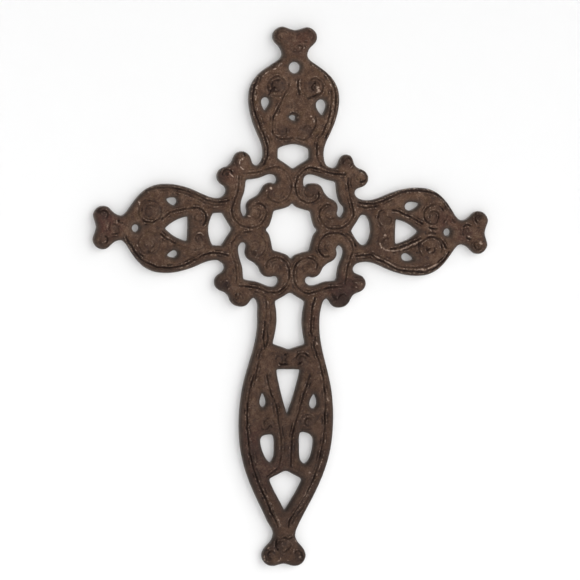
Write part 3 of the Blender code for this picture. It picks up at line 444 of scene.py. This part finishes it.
# Sooty dark places, in the same way
SOOT_PATCHES = [
    (38.5, -47.5, 12, 1.0), (-23, -160, 12, 0.4), (23, -163, 12, 0.4), (0, -190, 13, 0.4),
    (-49, -39, 6, 0.9), (-135.6, 10.6, 5, 0.6), (135.6, 12, 5, 0.5), (-13, 102, 6, 0.45),
    (-103, 11.6, 6, 0.35), (-103, -10.6, 6, 0.35), (103, 11.6, 5, 0.3), (12, 101, 6, 0.5), (-8, 70, 5, 0.4),
    (8.4, 69, 5.5, 0.4), (-5, -91, 5, 0.5), (9, -90, 6, 0.5), (13.6, -138, 6, 0.5), (-14, -138, 6, 0.5),
    (-6, -222, 6, 0.6), (9, -231, 4, 0.5), (48, -38, 4, 0.5), (-40, 46, 4, 0.4), (38, 49, 5, 0.5),
    (-20, -176, 9, 0.5), (18, -180, 9, 0.5), (0, -154, 7, 0.4), (-136, -10, 5, 0.5), (-16, 27, 4.5, 0.45),
    (27, 15, 4.5, 0.4), (66, 8, 5, 0.4), (66, -9, 5, 0.4), (-66, -6, 5, 0.4), (17, 26, 5, 0.5),
    (-26, -17, 6, 0.5), (-112, -17, 7, 0.5), (96, -20, 6, 0.3), (2, 127, 4, 0.4),
]


def spline(knots, closed=False, pieces=12):
    """Points along a centripetal Catmull-Rom curve through the knots."""
    k = np.array(knots, float)
    if closed:
        k = np.vstack([k[-1], k, k[0], k[1]])
    else:
        k = np.vstack([2 * k[0] - k[1], k, 2 * k[-1] - k[-2]])
    t = np.linspace(0, 1, pieces, endpoint=False)[:, None]
    out = []
    for a, b, c, d in zip(k, k[1:], k[2:], k[3:]):
        ta, tb, tc = (math.dist(p, q) ** 0.5 for p, q in ((a, b), (b, c), (c, d)))
        start = ((b - a) / ta - (c - a) / (ta + tb) + (c - b) / tb) * tb
        end = ((c - b) / tb - (d - b) / (tb + tc) + (d - c) / tc) * tb
        out.append(b * (2 * t**3 - 3 * t**2 + 1) + start * (t**3 - 2 * t**2 + t)
                   + c * (3 * t**2 - 2 * t**3) + end * (t**3 - t**2))
    return np.vstack(out) if closed else np.vstack([*out, k[-2]])


def wound(x, z, radius, start, turn):
    """Points on a ring that winds in a little, its angles in degrees."""
    angle = np.radians(start + turn * np.linspace(0, 1, RING_POINTS))
    inward = np.linspace(1, RING_IN, RING_POINTS)[:, None]
    return (x, z) + inward * np.column_stack([radius * np.cos(angle), radius * np.sin(angle)])


def spaced(line, step, closed=True):
    """The same line with its points evenly spaced, about a step apart."""
    p = np.vstack([line, line[:1]]) if closed else np.asarray(line, float)
    along = np.r_[0, np.cumsum(np.hypot(*np.diff(p, axis=0).T))]
    at = np.linspace(0, along[-1], max(3, round(along[-1] / step)) + 1)
    at = at[:-1] if closed else at
    return np.column_stack([np.interp(at, along, p[:, 0]), np.interp(at, along, p[:, 1])])


def left_of(line, closed):
    """Unit vectors to the left of a line's direction, one for each of its points."""
    way = np.roll(line, -1, 0) - np.roll(line, 1, 0) if closed else np.gradient(line, axis=0)
    way /= np.maximum(np.hypot(*way.T), 1e-12)[:, None]
    return np.column_stack([-way[:, 1], way[:, 0]])


def area_of(loop):
    """The area inside a loop, positive where the loop runs counter-clockwise."""
    x, z = loop.T
    return (x * np.roll(z, -1) - z * np.roll(x, -1)).sum() / 2


def place(points, arm):
    """Arm coordinates (out, across) turned to the drawing's (x, z)."""
    p = np.array(points, float)
    change = np.clip((p[:, 0] - CHANGE_FROM) / (CHANGE_FULL - CHANGE_FROM), 0, 1)
    out = p[:, 0] + ARM_REACH[arm] * change
    across = p[:, 1]
    if arm == "top":
        lean = TOP_LEAN * np.maximum(out - CHANGE_FROM, 0)
        return np.column_stack([across * (1 + (TOP_SPREAD - 1) * change) + lean, out])
    if arm == "bottom":
        return np.column_stack([across, -out])
    return np.column_stack([out if arm == "right" else -out, across])


HANGING_POINT = place([(HANGING_HOLE_AT, 0)], "top")[0]


def on_solid(drawn):
    """The drawing's millimetres as the frame's x and z in metres."""
    return (np.asarray(drawn, float) - HANGING_POINT) * SCALE


def solid_loops():
    """The outline and the openings of the solid, read round its flat back."""
    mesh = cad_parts[NODE].data
    corners = np.array([v.co for v in mesh.vertices])
    keys, index = np.unique(np.round(corners, 6), axis=0, return_inverse=True)
    index = index.reshape(-1)
    flat = np.abs(keys[:, 1]) < 1e-5
    after = {}
    seen = set()
    for face in mesh.polygons:
        ring = [int(index[i]) for i in face.vertices]
        if flat[ring].all():
            seen |= set(zip(ring, ring[1:] + ring[:1]))
    for a, b in seen:
        if (b, a) not in seen:
            after[a] = b
    loops = []
    while after:
        loop = [min(after)]
        while loop[-1] in after:
            loop.append(after.pop(loop[-1]))
        loops.append(keys[loop[:-1]][:, [0, 2]])
    loops.sort(key=lambda loop: -abs(area_of(loop)))
    return [spaced(spline(loop, closed=True), SAMPLE_STEP) for loop in loops]


def domes():
    """All raised rounds as (x, z, radius) in metres."""
    found = set()
    for arm in ("top", "left", "right", "bottom"):
        for out, across, radius in LONG_DOMES if arm == "bottom" else SHORT_DOMES:
            found |= {(*place([(out, side * across)], arm)[0], radius) for side in (-1, 1)}
    for a, b, radius in CORNER_DOMES:
        found |= {(x * p, z * q, radius) for x in (-1, 1) for z in (-1, 1) for p, q in ((a, b), (b, a))}
    return [(*on_solid((x, z)), radius * SCALE) for x, z, radius in sorted(found)]


def nearest_of(samples):
    """A function that gives the distance and the index of the nearest sample to each point."""
    tree = kdtree.KDTree(len(samples))
    for index, (x, z) in enumerate(samples):
        tree.insert((x, z, 0), index)
    tree.balance()

    def nearest(points):
        found = [tree.find((x, z, 0)) for x, z in points]
        return np.array([f[2] for f in found]), np.array([f[1] for f in found], int)

    return nearest


def lumps(points, size, seed):
    """Smooth noise from -1 to 1 with lumps of a size, at points of the plan or in space."""
    if points.shape[1] == 2:
        points = np.column_stack([points[:, 0], np.zeros(len(points)), points[:, 1]])
    shift = Vector((seed, 2.0 * seed, 0.0))
    return np.array([noise.noise(Vector(p) / size + shift) for p in points])


def bell(away, half):
    """A soft bump that is 1 on its middle line."""
    return np.exp(-((away / half) ** 2))


def strokes(drawn):
    """Lines as (strength, points)."""
    return [(strength, np.reshape(numbers, (-1, 2))) for strength, *numbers in drawn]


def round_lines():
    """The rings, and the scroll and its eye in all four corners, two of each to a corner."""
    found = [(strength, wound(*drawn)) for strength, *drawn in RINGS_DRAWN]
    for strength, x, z, turned in SCROLLS:
        for line, share in ((SCROLL, strength), (EYE, strength * EYE_STRENGTH)):
            copied = np.array(line, float)[:, ::-1] if turned else np.array(line, float)
            found.append((share, copied * (x, z)))
    return found


class Lines:
    """Drawn lines that wander a little, with their strength at each sample of them."""

    def __init__(self, drawn, depth_of, seed, unevenness, lump):
        self.runs, strengths = [], []
        for strength, points in drawn:
            line = spaced(on_solid(spline(points)), SAMPLE_STEP, False)
            aside = sum(reach * lumps(line, size, seed) for size, reach in WANDER)
            line = line + left_of(line, False) * aside[:, None]
            ends = np.minimum(np.arange(len(line)), np.arange(len(line))[::-1]) * SAMPLE_STEP
            strong = strength * np.clip(END_STRENGTH + ends / LINE_END, 0, 1)
            uneven = unevenness * (lumps(line, lump, seed + 1) + lumps(line, 3 * lump, seed + 2))
            strong = strong * np.clip(1 + uneven, LEAST_STRENGTH, MOST_STRENGTH)
            inside = depth_of(line) > LINE_INSET
            if inside.sum() > FEWEST_INSIDE:
                self.runs += runs(line[inside])
                strengths.append((line[inside], strong[inside]))
        self.points = np.vstack([line for line, _ in strengths])
        self.strength = np.concatenate([strong for _, strong in strengths])
        self.nearest = nearest_of(self.points)

    def at(self, points):
        """How far each point is from the nearest line and how strong that line is there."""
        away, index = self.nearest(points)
        return away, self.strength[index]


class Relief:
    """The casting's plan, and its height, its worn places and its painted shade at each point of it."""

    def __init__(self):
        loops = solid_loops()
        self.loops = [loop if (area_of(loop) > 0) == (i == 0) else loop[::-1]
                      for i, loop in enumerate(loops)]
        self.inward = [left_of(loop, True) for loop in self.loops]
        self.edge = np.vstack(self.loops)
        self.edge_inward = np.vstack(self.inward)
        self.near_edge = nearest_of(self.edge)
        carved = TOP_LINES + LEFT_LINES + RIGHT_LINES + CORNER_LINES + LONG_LINES
        self.carved = Lines(strokes(carved) + round_lines(), self.depth, 51, *CARVED_UNEVEN)
        self.bright = Lines(strokes(BRIGHT_LINES), self.depth, 51, *BRIGHT_UNEVEN)
        self.domes = domes()

    def depth(self, points):
        """How far inside the metal each point lies, negative outside it."""
        distance, index = self.near_edge(points)
        side = ((points - self.edge[index]) * self.edge_inward[index]).sum(1)
        return np.where(side < 0, -distance, distance)

    def shape(self, points):
        """Each point's height, how hollow, worn and proud it is, and how near an edge, for the iron's
        colour and its painted shade.
        """
        depth = np.maximum(self.depth(points), 0)
        rise = np.sqrt(1 - (1 - np.clip(depth / EDGE_ROUND, 0, 1)) ** 2)
        ragged = np.column_stack([lumps(points, SMALL_LUMP, 61), lumps(points, SMALL_LUMP, 63)])
        ragged = points + ragged * RAGGED

        away, strong = self.carved.at(points)
        broken = np.clip(0.4 + 1.8 * lumps(points, TWIN_LUMP, 67), 0, 1)
        twin = TWIN_STRENGTH * strong * broken * bell(away - TWIN_AWAY, TWIN_HALF)
        cut = np.maximum(groove(away, strong), twin)
        sunk = np.maximum(rounds(ragged, spots(PITS), PIT_DEPTH),
                          rounds(ragged, spots(HOLLOWS), HOLLOW_DEPTH))
        hollow = np.clip(np.maximum(cut, sunk) + 0.4 * np.minimum(cut, sunk), 0, 1)

        beads = np.clip(0.3 + 2.6 * lumps(points, BEAD, 65), 0, 1)
        ridge = RIDGE_STRENGTH * strong * beads * bell(away - RIDGE_AWAY, RIDGE_HALF)
        away, strong = self.bright.at(points)
        worn = np.maximum(ridge, strong * (0.5 + beads) * bell(away, BRIGHT_HALF))
        worn = np.clip(np.maximum(worn, rounds(ragged, spots(SPOTS), 1.0)), 0, 1)

        skin = sum(height * lumps(points, size, seed) for seed, (size, height) in enumerate(SKIN, 11))
        face = FACE_LEVEL + rounds(points, self.domes, DOME_HEIGHT)
        face += BRIGHT_HEIGHT * worn - GROOVE_DEPTH * hollow + skin
        height = SIDE_WALL + (np.minimum(face, TOP_LEVEL) - SIDE_WALL) * rise
        return height, hollow, worn, 0.5 + skin / SKIN_RANGE, np.clip(1 - depth / RIM_SHADE_WIDTH, 0, 1)


def spots(drawn):
    """Small rounds of the drawing as (x, z, radius) in metres."""
    return [(*on_solid((x, z)), radius * SCALE) for x, z, radius in drawn]


def rounds(points, middles, height):
    """The height that the strongest of some soft rounds gives each point."""
    found = np.zeros(len(points))
    for x, z, radius in middles:
        across = np.hypot(points[:, 0] - x, points[:, 1] - z) / radius
        found = np.maximum(found, height * np.clip(1 - across**2, 0, 1))
    return found


def groove(away, strong):
    """How far down a groove a point lies, from 0 to about its strength."""
    soft = np.clip(1 - 2 * away / GROOVE_WIDTH, 0, 1) ** 1.7
    sharp = np.clip(1 - 2 * away / (GROOVE_CORE * (0.5 + 0.6 * strong)), 0, 1)
    return strong * (0.5 * soft + 0.55 * strong * sharp)


def beside(line, rows, step):
    """Points along a line and on rows each side of it."""
    thin = spaced(line, step, False)
    aside = left_of(thin, False)
    return np.vstack([thin + aside * row * side
                      for row in rows for side in ((1, -1) if row else (1,))])


def spread_out(points, apart):
    """The points, less any that is too near an earlier one."""
    kept, taken = [], {}
    cells = (points // apart).astype(int)
    for point, (i, j) in zip(points.tolist(), cells.tolist()):
        near = (q for a in (i - 1, i, i + 1) for b in (j - 1, j, j + 1)
                for q in taken.get((a, b), ()))
        if all(math.dist(point, q) >= apart for q in near):
            taken.setdefault((i, j), []).append(point)
            kept.append(point)
    return np.array(kept)


def grid(low, high, spacing):
    """Points in rows, each row set half a step aside from the last."""
    rows = np.arange(low[1], high[1], spacing * math.sqrt(3) / 2)
    columns = np.arange(low[0], high[0], spacing)
    return np.array([(x + spacing / 2 * (n % 2), z) for n, z in enumerate(rows) for x in columns])


def front_points(relief):
    """The loose points of the carved face, the finest first."""
    lines = [beside(line, GROOVE_ROWS, GROOVE_STEP) for line in relief.carved.runs]
    lines += [beside(line, BRIGHT_ROWS, GROOVE_STEP) for line in relief.bright.runs]
    for x, z, radius in spots(PITS + SPOTS):
        near = grid((x - radius, z - radius), (x + radius, z + radius), SPOT_SPACING)
        lines.append(near[np.hypot(near[:, 0] - x, near[:, 1] - z) < radius])
    rings = [spaced(loop + inward * ring, RING_STEP)
             for ring in RINGS for loop, inward in zip(relief.loops, relief.inward)]
    field = grid(relief.edge.min(0), relief.edge.max(0), FIELD_SPACING)
    field = field[relief.depth(field) > RINGS[-1]]
    points = spread_out(np.vstack([*lines, *rings, field]), POINTS_APART)
    return points[relief.depth(points) > 0.8 * RINGS[0]]


def runs(line):
    """A line cut wherever two of its samples are far apart."""
    gaps = np.hypot(*np.diff(line, axis=0).T) > 4 * SAMPLE_STEP
    return [run for run in np.split(line, np.flatnonzero(gaps) + 1) if len(run) > FEWEST_SAMPLES]


def triangulated(rims, loose, relief):
    """Corners and triangles of the plan inside the rims, which come first and in order."""
    edges = []
    first = 0
    for rim in rims:
        edges += [(first + i, first + (i + 1) % len(rim)) for i in range(len(rim))]
        first += len(rim)
    points = np.vstack([*rims, loose])
    made = geometry.delaunay_2d_cdt([Vector(p) for p in points], edges, [], 0, 1e-8)
    corners = np.array([tuple(v) for v in made[0]])
    if len(corners) != len(points):
        raise RuntimeError("the plan's points ran together")
    faces = np.array(made[2])
    return corners, faces[relief.depth(corners[faces].mean(1)) > -OUTSIDE_ALLOWED]


def wall_corners(rims):
    """Corners down the walls under the face's rim, in three rows, the last one on the back."""
    rim = np.vstack(rims)
    inward = np.vstack([left_of(loop, True) for loop in rims])
    rows = []
    for level, inset, seed in ((SIDE_WALL * 0.5, 0.0, 21), (BACK_CHAMFER * 1.2, 0.0, 22),
                               (0.0, BACK_CHAMFER, 23)):
        levels = np.full(len(rim), level)
        skin = np.abs(lumps(np.column_stack([rim[:, 0], levels, rim[:, 1]]), SMALL_LUMP, seed))
        flat = rim + inward * (inset + WALL_SKIN * skin)[:, None]
        rows.append(np.column_stack([flat[:, 0], -levels, flat[:, 1]]))
    return rows


def back_corners(inner):
    """Corners of the back, dipped and pitted a little."""
    dip = (BACK_DIP * np.clip(0.4 + lumps(inner, 9 * MM, 31), 0, 1)
           + BACK_PITTING * np.abs(lumps(inner, 4 * MM, 33)))
    return np.column_stack([inner[:, 0], -dip, inner[:, 1]])


def casting_mesh(relief):
    """The closed casting: carved face, rounded edges, walls with a cast skin, and a rough back."""
    rims = [spaced(loop, RIM_STEP) for loop in relief.loops]
    count = sum(len(loop) for loop in rims)
    front, front_faces = triangulated(rims, front_points(relief), relief)
    height, *masks = relief.shape(front)
    height[:count] = SIDE_WALL
    rows = wall_corners(rims)

    back_rims = np.split(rows[-1][:, [0, 2]], np.cumsum([len(loop) for loop in rims])[:-1])
    loose = grid(relief.edge.min(0), relief.edge.max(0), BACK_SPACING)
    loose = loose[relief.depth(loose) > BACK_INSET]
    back, back_faces = triangulated(back_rims, loose, relief)
    corners = [np.column_stack([front[:, 0], -height, front[:, 1]]), *rows, back_corners(back[count:])]

    # Rows of corners one below the other, joined by two triangles at each step round a rim
    starts = np.cumsum([0] + [len(c) for c in corners])
    ring_of = starts[:4]
    after = np.concatenate([np.roll(np.arange(len(r)), -1) + first
                            for r, first in zip(rims, np.cumsum([0] + [len(r) for r in rims[:-1]]))])
    here = np.arange(count)
    faces = [front_faces]
    for upper, lower in zip(ring_of, ring_of[1:]):
        faces.append(np.column_stack([upper + after, upper + here, lower + here]))
        faces.append(np.column_stack([upper + after, lower + here, lower + after]))
    back_at = np.where(np.arange(len(back)) < count, ring_of[-1] + np.arange(len(back)),
                       starts[4] + np.arange(len(back)) - count)
    faces.append(back_at[back_faces][:, ::-1])

    # The front's triangles run counter-clockwise in (x, z), which faces towards -Y.
    corners = np.clip(np.vstack(corners), LOW, HIGH)
    mesh = bpy.data.meshes.new("cross_casting")
    mesh.from_pydata(corners.tolist(), [], np.vstack(faces).tolist())
    mesh.shade_smooth()
    mesh.set_sharp_from_angle(angle=math.radians(SHARP_ANGLE))
    add_iron_masks(mesh, corners, masks, starts[4])
    return mesh


def add_iron_masks(mesh, corners, masks, back_from):
    """The values that the iron reads: the face's own marks, some of them for painted shade, then what the
    walls and back have.
    """
    hollow, worn, proud, border = masks
    extra = len(corners) - len(hollow)
    plain = np.zeros(extra)
    rough = 0.5 + 0.7 * lumps(corners[-extra:], 7 * MM, 35) + 0.5 * lumps(corners[-extra:], 2.5 * MM, 37)
    behind = np.arange(len(corners)) >= back_from
    side = np.clip((SIDE_TO + corners[:, 1]) / (SIDE_TO - SIDE_FROM), 0, 1)
    values = {
        "hollow": np.r_[hollow, plain],
        "worn": np.r_[worn, plain],
        "proud": np.r_[proud, rough],
        "border": np.where(behind, BACK_BORDER, np.r_[border, plain + 1]),
        "side": np.where(behind, BACK_SIDE, side),
        "red": patches(corners, RED_PATCHES),
        "soot": np.where(behind, 0.5 + lumps(corners, 24 * MM, 39), patches(corners, SOOT_PATCHES)),
    }
    for name, value in values.items():
        layer = mesh.attributes.new(name, "FLOAT", "POINT")
        layer.data.foreach_set("value", np.asarray(value, np.float32))


def patches(corners, drawn):
    """How strong some ragged round patches are at each corner, from 0 to 1."""
    found = np.zeros(len(corners))
    ragged = 1 + 0.5 * lumps(corners, 8 * MM, 41)
    for x, z, reach, strength in drawn:
        middle = on_solid((x, z))
        away = np.hypot(corners[:, 0] - middle[0], corners[:, 2] - middle[1]) / (reach * MM)
        found = np.maximum(found, strength * np.clip(1.3 - away * ragged, 0, 1))
    return found


def new_material(name):
    """A new material with its node tree and its shader."""
    material = bpy.data.materials.new(name)
    material.use_nodes = True
    return material, material.node_tree, material.node_tree.nodes["Principled BSDF"]


def node(tree, kind, **settings):
    """A new shader node with its properties and its sockets' values set."""
    made = tree.nodes.new(kind)
    for name, value in settings.items():
        if name in made.inputs:
            made.inputs[name].default_value = value
        else:
            setattr(made, name, value)
    return made


def mixed(tree, factor, first, second, blend="MIX"):
    """The output of a colour mix of two sockets or colours by a factor socket or number."""
    mix = node(tree, "ShaderNodeMix", data_type="RGBA", blend_type=blend)
    for socket, value in ((mix.inputs[0], factor), (mix.inputs[6], first), (mix.inputs[7], second)):
        if isinstance(value, (int, float, tuple)):
            socket.default_value = value
        else:
            tree.links.new(value, socket)
    return mix.outputs[2]


def ramp(tree, value, low, high, low_to=0.0, high_to=1.0):
    """A value carried from one range to another and held at its ends."""
    made = node(tree, "ShaderNodeMapRange")
    for socket, number in zip(range(1, 5), (low, high, low_to, high_to)):
        made.inputs[socket].default_value = number
    tree.links.new(value, made.inputs[0])
    return made.outputs[0]


def maths(tree, operation, first, second):
    """The output of one sum of two sockets or numbers."""
    made = node(tree, "ShaderNodeMath", operation=operation)
    for socket, value in zip(made.inputs, (first, second)):
        if isinstance(value, (int, float)):
            socket.default_value = value
        else:
            tree.links.new(value, socket)
    return made.outputs[0]


def noise_of(tree, place_from, scale, detail, roughness=0.55):
    """Procedural noise at a place, its scale in lumps to the metre."""
    made = node(tree, "ShaderNodeTexNoise", Scale=scale, Detail=detail, Roughness=roughness)
    tree.links.new(place_from, made.inputs["Vector"])
    return made.outputs["Fac"]


def attribute(tree, name):
    """A value that the mesh has at each of its corners."""
    return node(tree, "ShaderNodeAttribute", attribute_name=name).outputs["Fac"]


# Colours of the iron, some of them painted shade, highlight or reflection
BROWN = (0.064, 0.030, 0.0165, 1)
LIGHT_BROWN = (0.088, 0.0445, 0.026, 1)
OLIVE = (0.070, 0.043, 0.018, 1)
RUST = (0.066, 0.021, 0.017, 1)
BLOTCH = (0.030, 0.0155, 0.0100, 1)
# A painted reflection of the pale wall, grey on the iron's side walls
SIDE_REFLECTION_GREY = (0.200, 0.200, 0.190, 1)
# Dust on raised spots, partly a painted highlight
DUST_AND_HIGHLIGHT = (0.190, 0.120, 0.079, 1)
# Dark grain in low spots, partly painted shade
LOW_GRAIN_AND_SHADE = (0.024, 0.0125, 0.0075, 1)
SOOT = (0.026, 0.0125, 0.0108, 1)
# Painted shade on the rounded edges
EDGE_PAINTED_SHADE = (0.044, 0.032, 0.025, 1)
WORN_IRON = (0.43, 0.315, 0.245, 1)
# Partly grime, partly painted shade in and round grooves, pits and hollows
HOLLOW_GRIME_AND_SHADE = (0.028, 0.0145, 0.0090, 1)
GROOVE_SOOT = (0.0205, 0.0090, 0.0066, 1)
# Painted shade: the long arm darkens by this much between these heights
FOOT_SHADE = (0.60, 0.57, 0.56, 1)
FOOT_SHADE_FROM = -0.05
FOOT_SHADE_TO = -0.28
SHINE = 0.22


def iron_colour(tree, at, mottle, grain):
    """The iron's colour, layered from its browns up to the soot in its grooves, with painted shade and
    light.
    """
    hollow, worn, red, soot, side, proud, border = (
        attribute(tree, name) for name in ("hollow", "worn", "red", "soot", "side", "proud", "border"))
    broad = noise_of(tree, at, scale=45, detail=2)
    fine = noise_of(tree, at, scale=1250, detail=2, roughness=0.6)
    # How raised each spot is, from the cast skin and the grain that also bumps it; it sets dust and painted
    # highlight on high spots and painted shade on low ones
    high = maths(tree, "ADD", maths(tree, "MULTIPLY", proud, 0.28), maths(tree, "MULTIPLY", grain, 0.38))
    high = maths(tree, "ADD", high, maths(tree, "MULTIPLY", fine, 0.44))

    rusty = maths(tree, "MULTIPLY", red, ramp(tree, mottle, 0.3, 0.6, 0.45, 0.9))
    # Painted reflection: the side walls greyed as if they mirrored the pale wall
    side_reflection = maths(tree, "MULTIPLY", side, ramp(tree, mottle, 0.34, 0.60, 0.45, 0.95))
    sooted = maths(tree, "MULTIPLY", soot, ramp(tree, mottle, 0.3, 0.62, 1.0, 0.7))
    # Painted shade along the face's rounded edges, less on the walls
    rim = maths(tree, "MULTIPLY", ramp(tree, border, 0.0, 0.6, 0, 0.7), ramp(tree, side, 1.0, 0.3))
    rim = maths(tree, "MULTIPLY", rim, ramp(tree, mottle, 0.3, 0.6, 0.5, 1))
    masks = maths(tree, "MULTIPLY", ramp(tree, worn, 0.22, 0.82), ramp(tree, grain, 0.36, 0.54, 0.4, 1))
    broken = maths(tree, "ADD", hollow, ramp(tree, high, 0.40, 0.62, 0.38, -0.40))
    upright = node(tree, "ShaderNodeSeparateXYZ")
    tree.links.new(at, upright.inputs[0])

    colour = mixed(tree, ramp(tree, broad, 0.35, 0.65), BROWN, LIGHT_BROWN)
    for amount, over in (
        (ramp(tree, mottle, 0.54, 0.74, 0, 0.6), OLIVE),
        (rusty, RUST),
        (ramp(tree, mottle, 0.46, 0.32, 0, 0.62), BLOTCH),
        # painted reflection on the side walls
        (side_reflection, SIDE_REFLECTION_GREY),
        # dust and painted highlight on raised spots
        (ramp(tree, high, 0.54, 0.69, 0, 0.60), DUST_AND_HIGHLIGHT),
        # dark grain and painted shade in low spots
        (ramp(tree, high, 0.52, 0.40, 0, 0.66), LOW_GRAIN_AND_SHADE),
        (sooted, SOOT),
        # painted shade along the edges
        (rim, EDGE_PAINTED_SHADE),
        (masks, WORN_IRON),
        # partly grime, partly painted shade in the hollows
        (ramp(tree, hollow, 0.03, 0.34, 0, 0.62), HOLLOW_GRIME_AND_SHADE),
        (ramp(tree, broken, 0.30, 0.68, 0, 0.86), GROOVE_SOOT),
    ):
        colour = mixed(tree, amount, colour, over)
    # Painted shade, darker towards the foot of the long arm
    down = ramp(tree, upright.outputs["Z"], FOOT_SHADE_FROM, FOOT_SHADE_TO, 0, 1.0)
    return mixed(tree, down, colour, FOOT_SHADE, "MULTIPLY")


def cast_iron():
    """Dark brown iron: mottled, sooty in its grooves, redder in places, pale where worn, with painted shade
    and reflection.
    """
    material, tree, shader = new_material("cast_iron_skin")
    at = node(tree, "ShaderNodeTexCoord").outputs["Object"]
    mottle = noise_of(tree, at, scale=260, detail=4, roughness=0.65)
    grain = noise_of(tree, at, scale=780, detail=4, roughness=0.75)
    tree.links.new(iron_colour(tree, at, mottle, grain), shader.inputs["Base Color"])
    tree.links.new(ramp(tree, mottle, 0.3, 0.7, 0.55, 0.78), shader.inputs["Roughness"])
    shader.inputs["Specular IOR Level"].default_value = SHINE
    coarse = node(tree, "ShaderNodeBump", Strength=0.7, Distance=0.4 * MM)
    tree.links.new(mottle, coarse.inputs["Height"])
    bump = node(tree, "ShaderNodeBump", Strength=0.9, Distance=0.4 * MM)
    tree.links.new(grain, bump.inputs["Height"])
    tree.links.new(coarse.outputs["Normal"], bump.inputs["Normal"])
    tree.links.new(bump.outputs["Normal"], shader.inputs["Normal"])
    return material


def make_cross():
    """The casting as one piece, in place of the solid."""
    cross = bpy.data.objects.new("cross_casting", casting_mesh(Relief()))
    bpy.context.scene.collection.objects.link(cross)
    cross.data.materials.append(cast_iron())
    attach(cross, "root")
    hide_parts(NODE)


# The stage
WALL_GAP = 1.2 * MM
WALL_SIZE = 3.0
FLOOR_BELOW = 0.10
PAPER = (0.85, 0.85, 0.85, 1)
PAPER_ROUGHNESS = 0.9


def paper(name, one_sided=False):
    """Plain matt paper, see-through from behind where it is one-sided."""
    material, tree, shader = new_material(name)
    shader.inputs["Base Color"].default_value = PAPER
    shader.inputs["Roughness"].default_value = PAPER_ROUGHNESS
    shader.inputs["Specular IOR Level"].default_value = 0.0
    if one_sided:
        clear = node(tree, "ShaderNodeBsdfTransparent")
        mix = node(tree, "ShaderNodeMixShader")
        tree.links.new(node(tree, "ShaderNodeNewGeometry").outputs["Backfacing"], mix.inputs[0])
        tree.links.new(shader.outputs[0], mix.inputs[1])
        tree.links.new(clear.outputs[0], mix.inputs[2])
        tree.links.new(mix.outputs[0], tree.nodes["Material Output"].inputs["Surface"])
    return material


def stage_sheet(name, corners, material):
    """A flat stage object with the corners and the material."""
    mesh = bpy.data.meshes.new(name)
    mesh.from_pydata(corners, [], [tuple(range(len(corners)))])
    made = bpy.data.objects.new(name, mesh)
    bpy.context.scene.collection.objects.link(made)
    mesh.materials.append(material)
    return made


def make_stage():
    """A pale wall just behind the cross, seen only from its front, and a floor below."""
    half, floor = WALL_SIZE / 2, LOW[2] - FLOOR_BELOW
    top = floor + WALL_SIZE
    wall = stage_sheet("wall", [(-half, WALL_GAP, floor), (half, WALL_GAP, floor),
                                (half, WALL_GAP, top), (-half, WALL_GAP, top)],
                       paper("paper_wall", one_sided=True))
    wall.visible_shadow = False
    stage_sheet("floor", [(-half, -half, floor), (half, -half, floor), (half, half, floor),
                          (-half, half, floor)], paper("paper_floor"))


# Wide even lights, as (name, direction, spread in degrees, strength), and the light all round
LIGHTS = [
    ("key", (1.3, -1.2, 0.75), 66, 1.95),
    ("fill", (-1.2, -1.3, 0.3), 50, 0.34),
    ("front", (-0.25, -1.0, 0.04), 10, 0.42),
    ("back", (0.6, 1.4, 0.9), 40, 3.2),
]
LIGHTS_AWAY = 2.0
WORLD_COLOUR = (1.0, 1.0, 1.0, 1)
WORLD_STRENGTH = 0.30


def make_lights():
    """Soft light from the right above, a weaker one from the left, and one for the back."""
    for name, direction, spread, strength in LIGHTS:
        light = bpy.data.lights.new(name, "SUN")
        light.angle = math.radians(spread)
        light.energy = strength
        made = bpy.data.objects.new(name, light)
        bpy.context.scene.collection.objects.link(made)
        way = Vector(direction).normalized()
        made.location = (Vector(LOW) + Vector(HIGH)) / 2 + way * LIGHTS_AWAY
        made.rotation_euler = way.to_track_quat("Z", "Y").to_euler()
    world = bpy.data.worlds.new("studio")
    world.use_nodes = True
    background = world.node_tree.nodes["Background"]
    background.inputs["Color"].default_value = WORLD_COLOUR
    background.inputs["Strength"].default_value = WORLD_STRENGTH
    bpy.context.scene.world = world
    bpy.context.scene.view_settings.view_transform = "Standard"


# The photograph's camera, fitted to the outline
IMAGE = 580
CAMERA_AWAY = 4.0
CAMERA_YAW = -14.49
CAMERA_PITCH = 2.32
CAMERA_ROLL = 1.365
PIXELS_PER_METRE = 1421.0
STAR_PIXEL = (290.64, 229.87)
SENSOR = 36.0
CLIP_END = 20.0


def make_camera():
    """Looks at the cross from a little to the left, framed as the photograph is."""
    yaw, pitch, roll = (math.radians(a) for a in (CAMERA_YAW, CAMERA_PITCH, CAMERA_ROLL))
    back = Vector((math.sin(yaw) * math.cos(pitch), -math.cos(yaw) * math.cos(pitch), math.sin(pitch)))
    level = Vector((math.cos(yaw), math.sin(yaw), 0))
    upright = back.cross(level)
    right = level * math.cos(roll) + upright * math.sin(roll)
    up = upright * math.cos(roll) - level * math.sin(roll)
    x, z = on_solid((0, 0))
    star = Vector((x, 0, z))
    eye = star + back * CAMERA_AWAY
    aside = (IMAGE / 2 - STAR_PIXEL[0]) / PIXELS_PER_METRE
    above = (STAR_PIXEL[1] - IMAGE / 2) / PIXELS_PER_METRE
    behind = (eye - star - right * aside - up * above).normalized()
    across = (right - behind * right.dot(behind)).normalized()
    camera = bpy.data.objects.new("camera", bpy.data.cameras.new("camera"))
    bpy.context.scene.collection.objects.link(camera)
    turned = Matrix((across, behind.cross(across), behind)).transposed()
    camera.matrix_world = Matrix.Translation(eye) @ turned.to_4x4()
    camera.data.sensor_width = SENSOR
    camera.data.lens = PIXELS_PER_METRE * CAMERA_AWAY * SENSOR / IMAGE
    camera.data.clip_end = CLIP_END
    bpy.context.scene.camera = camera


make_camera()
make_cross()
make_stage()
make_lights()
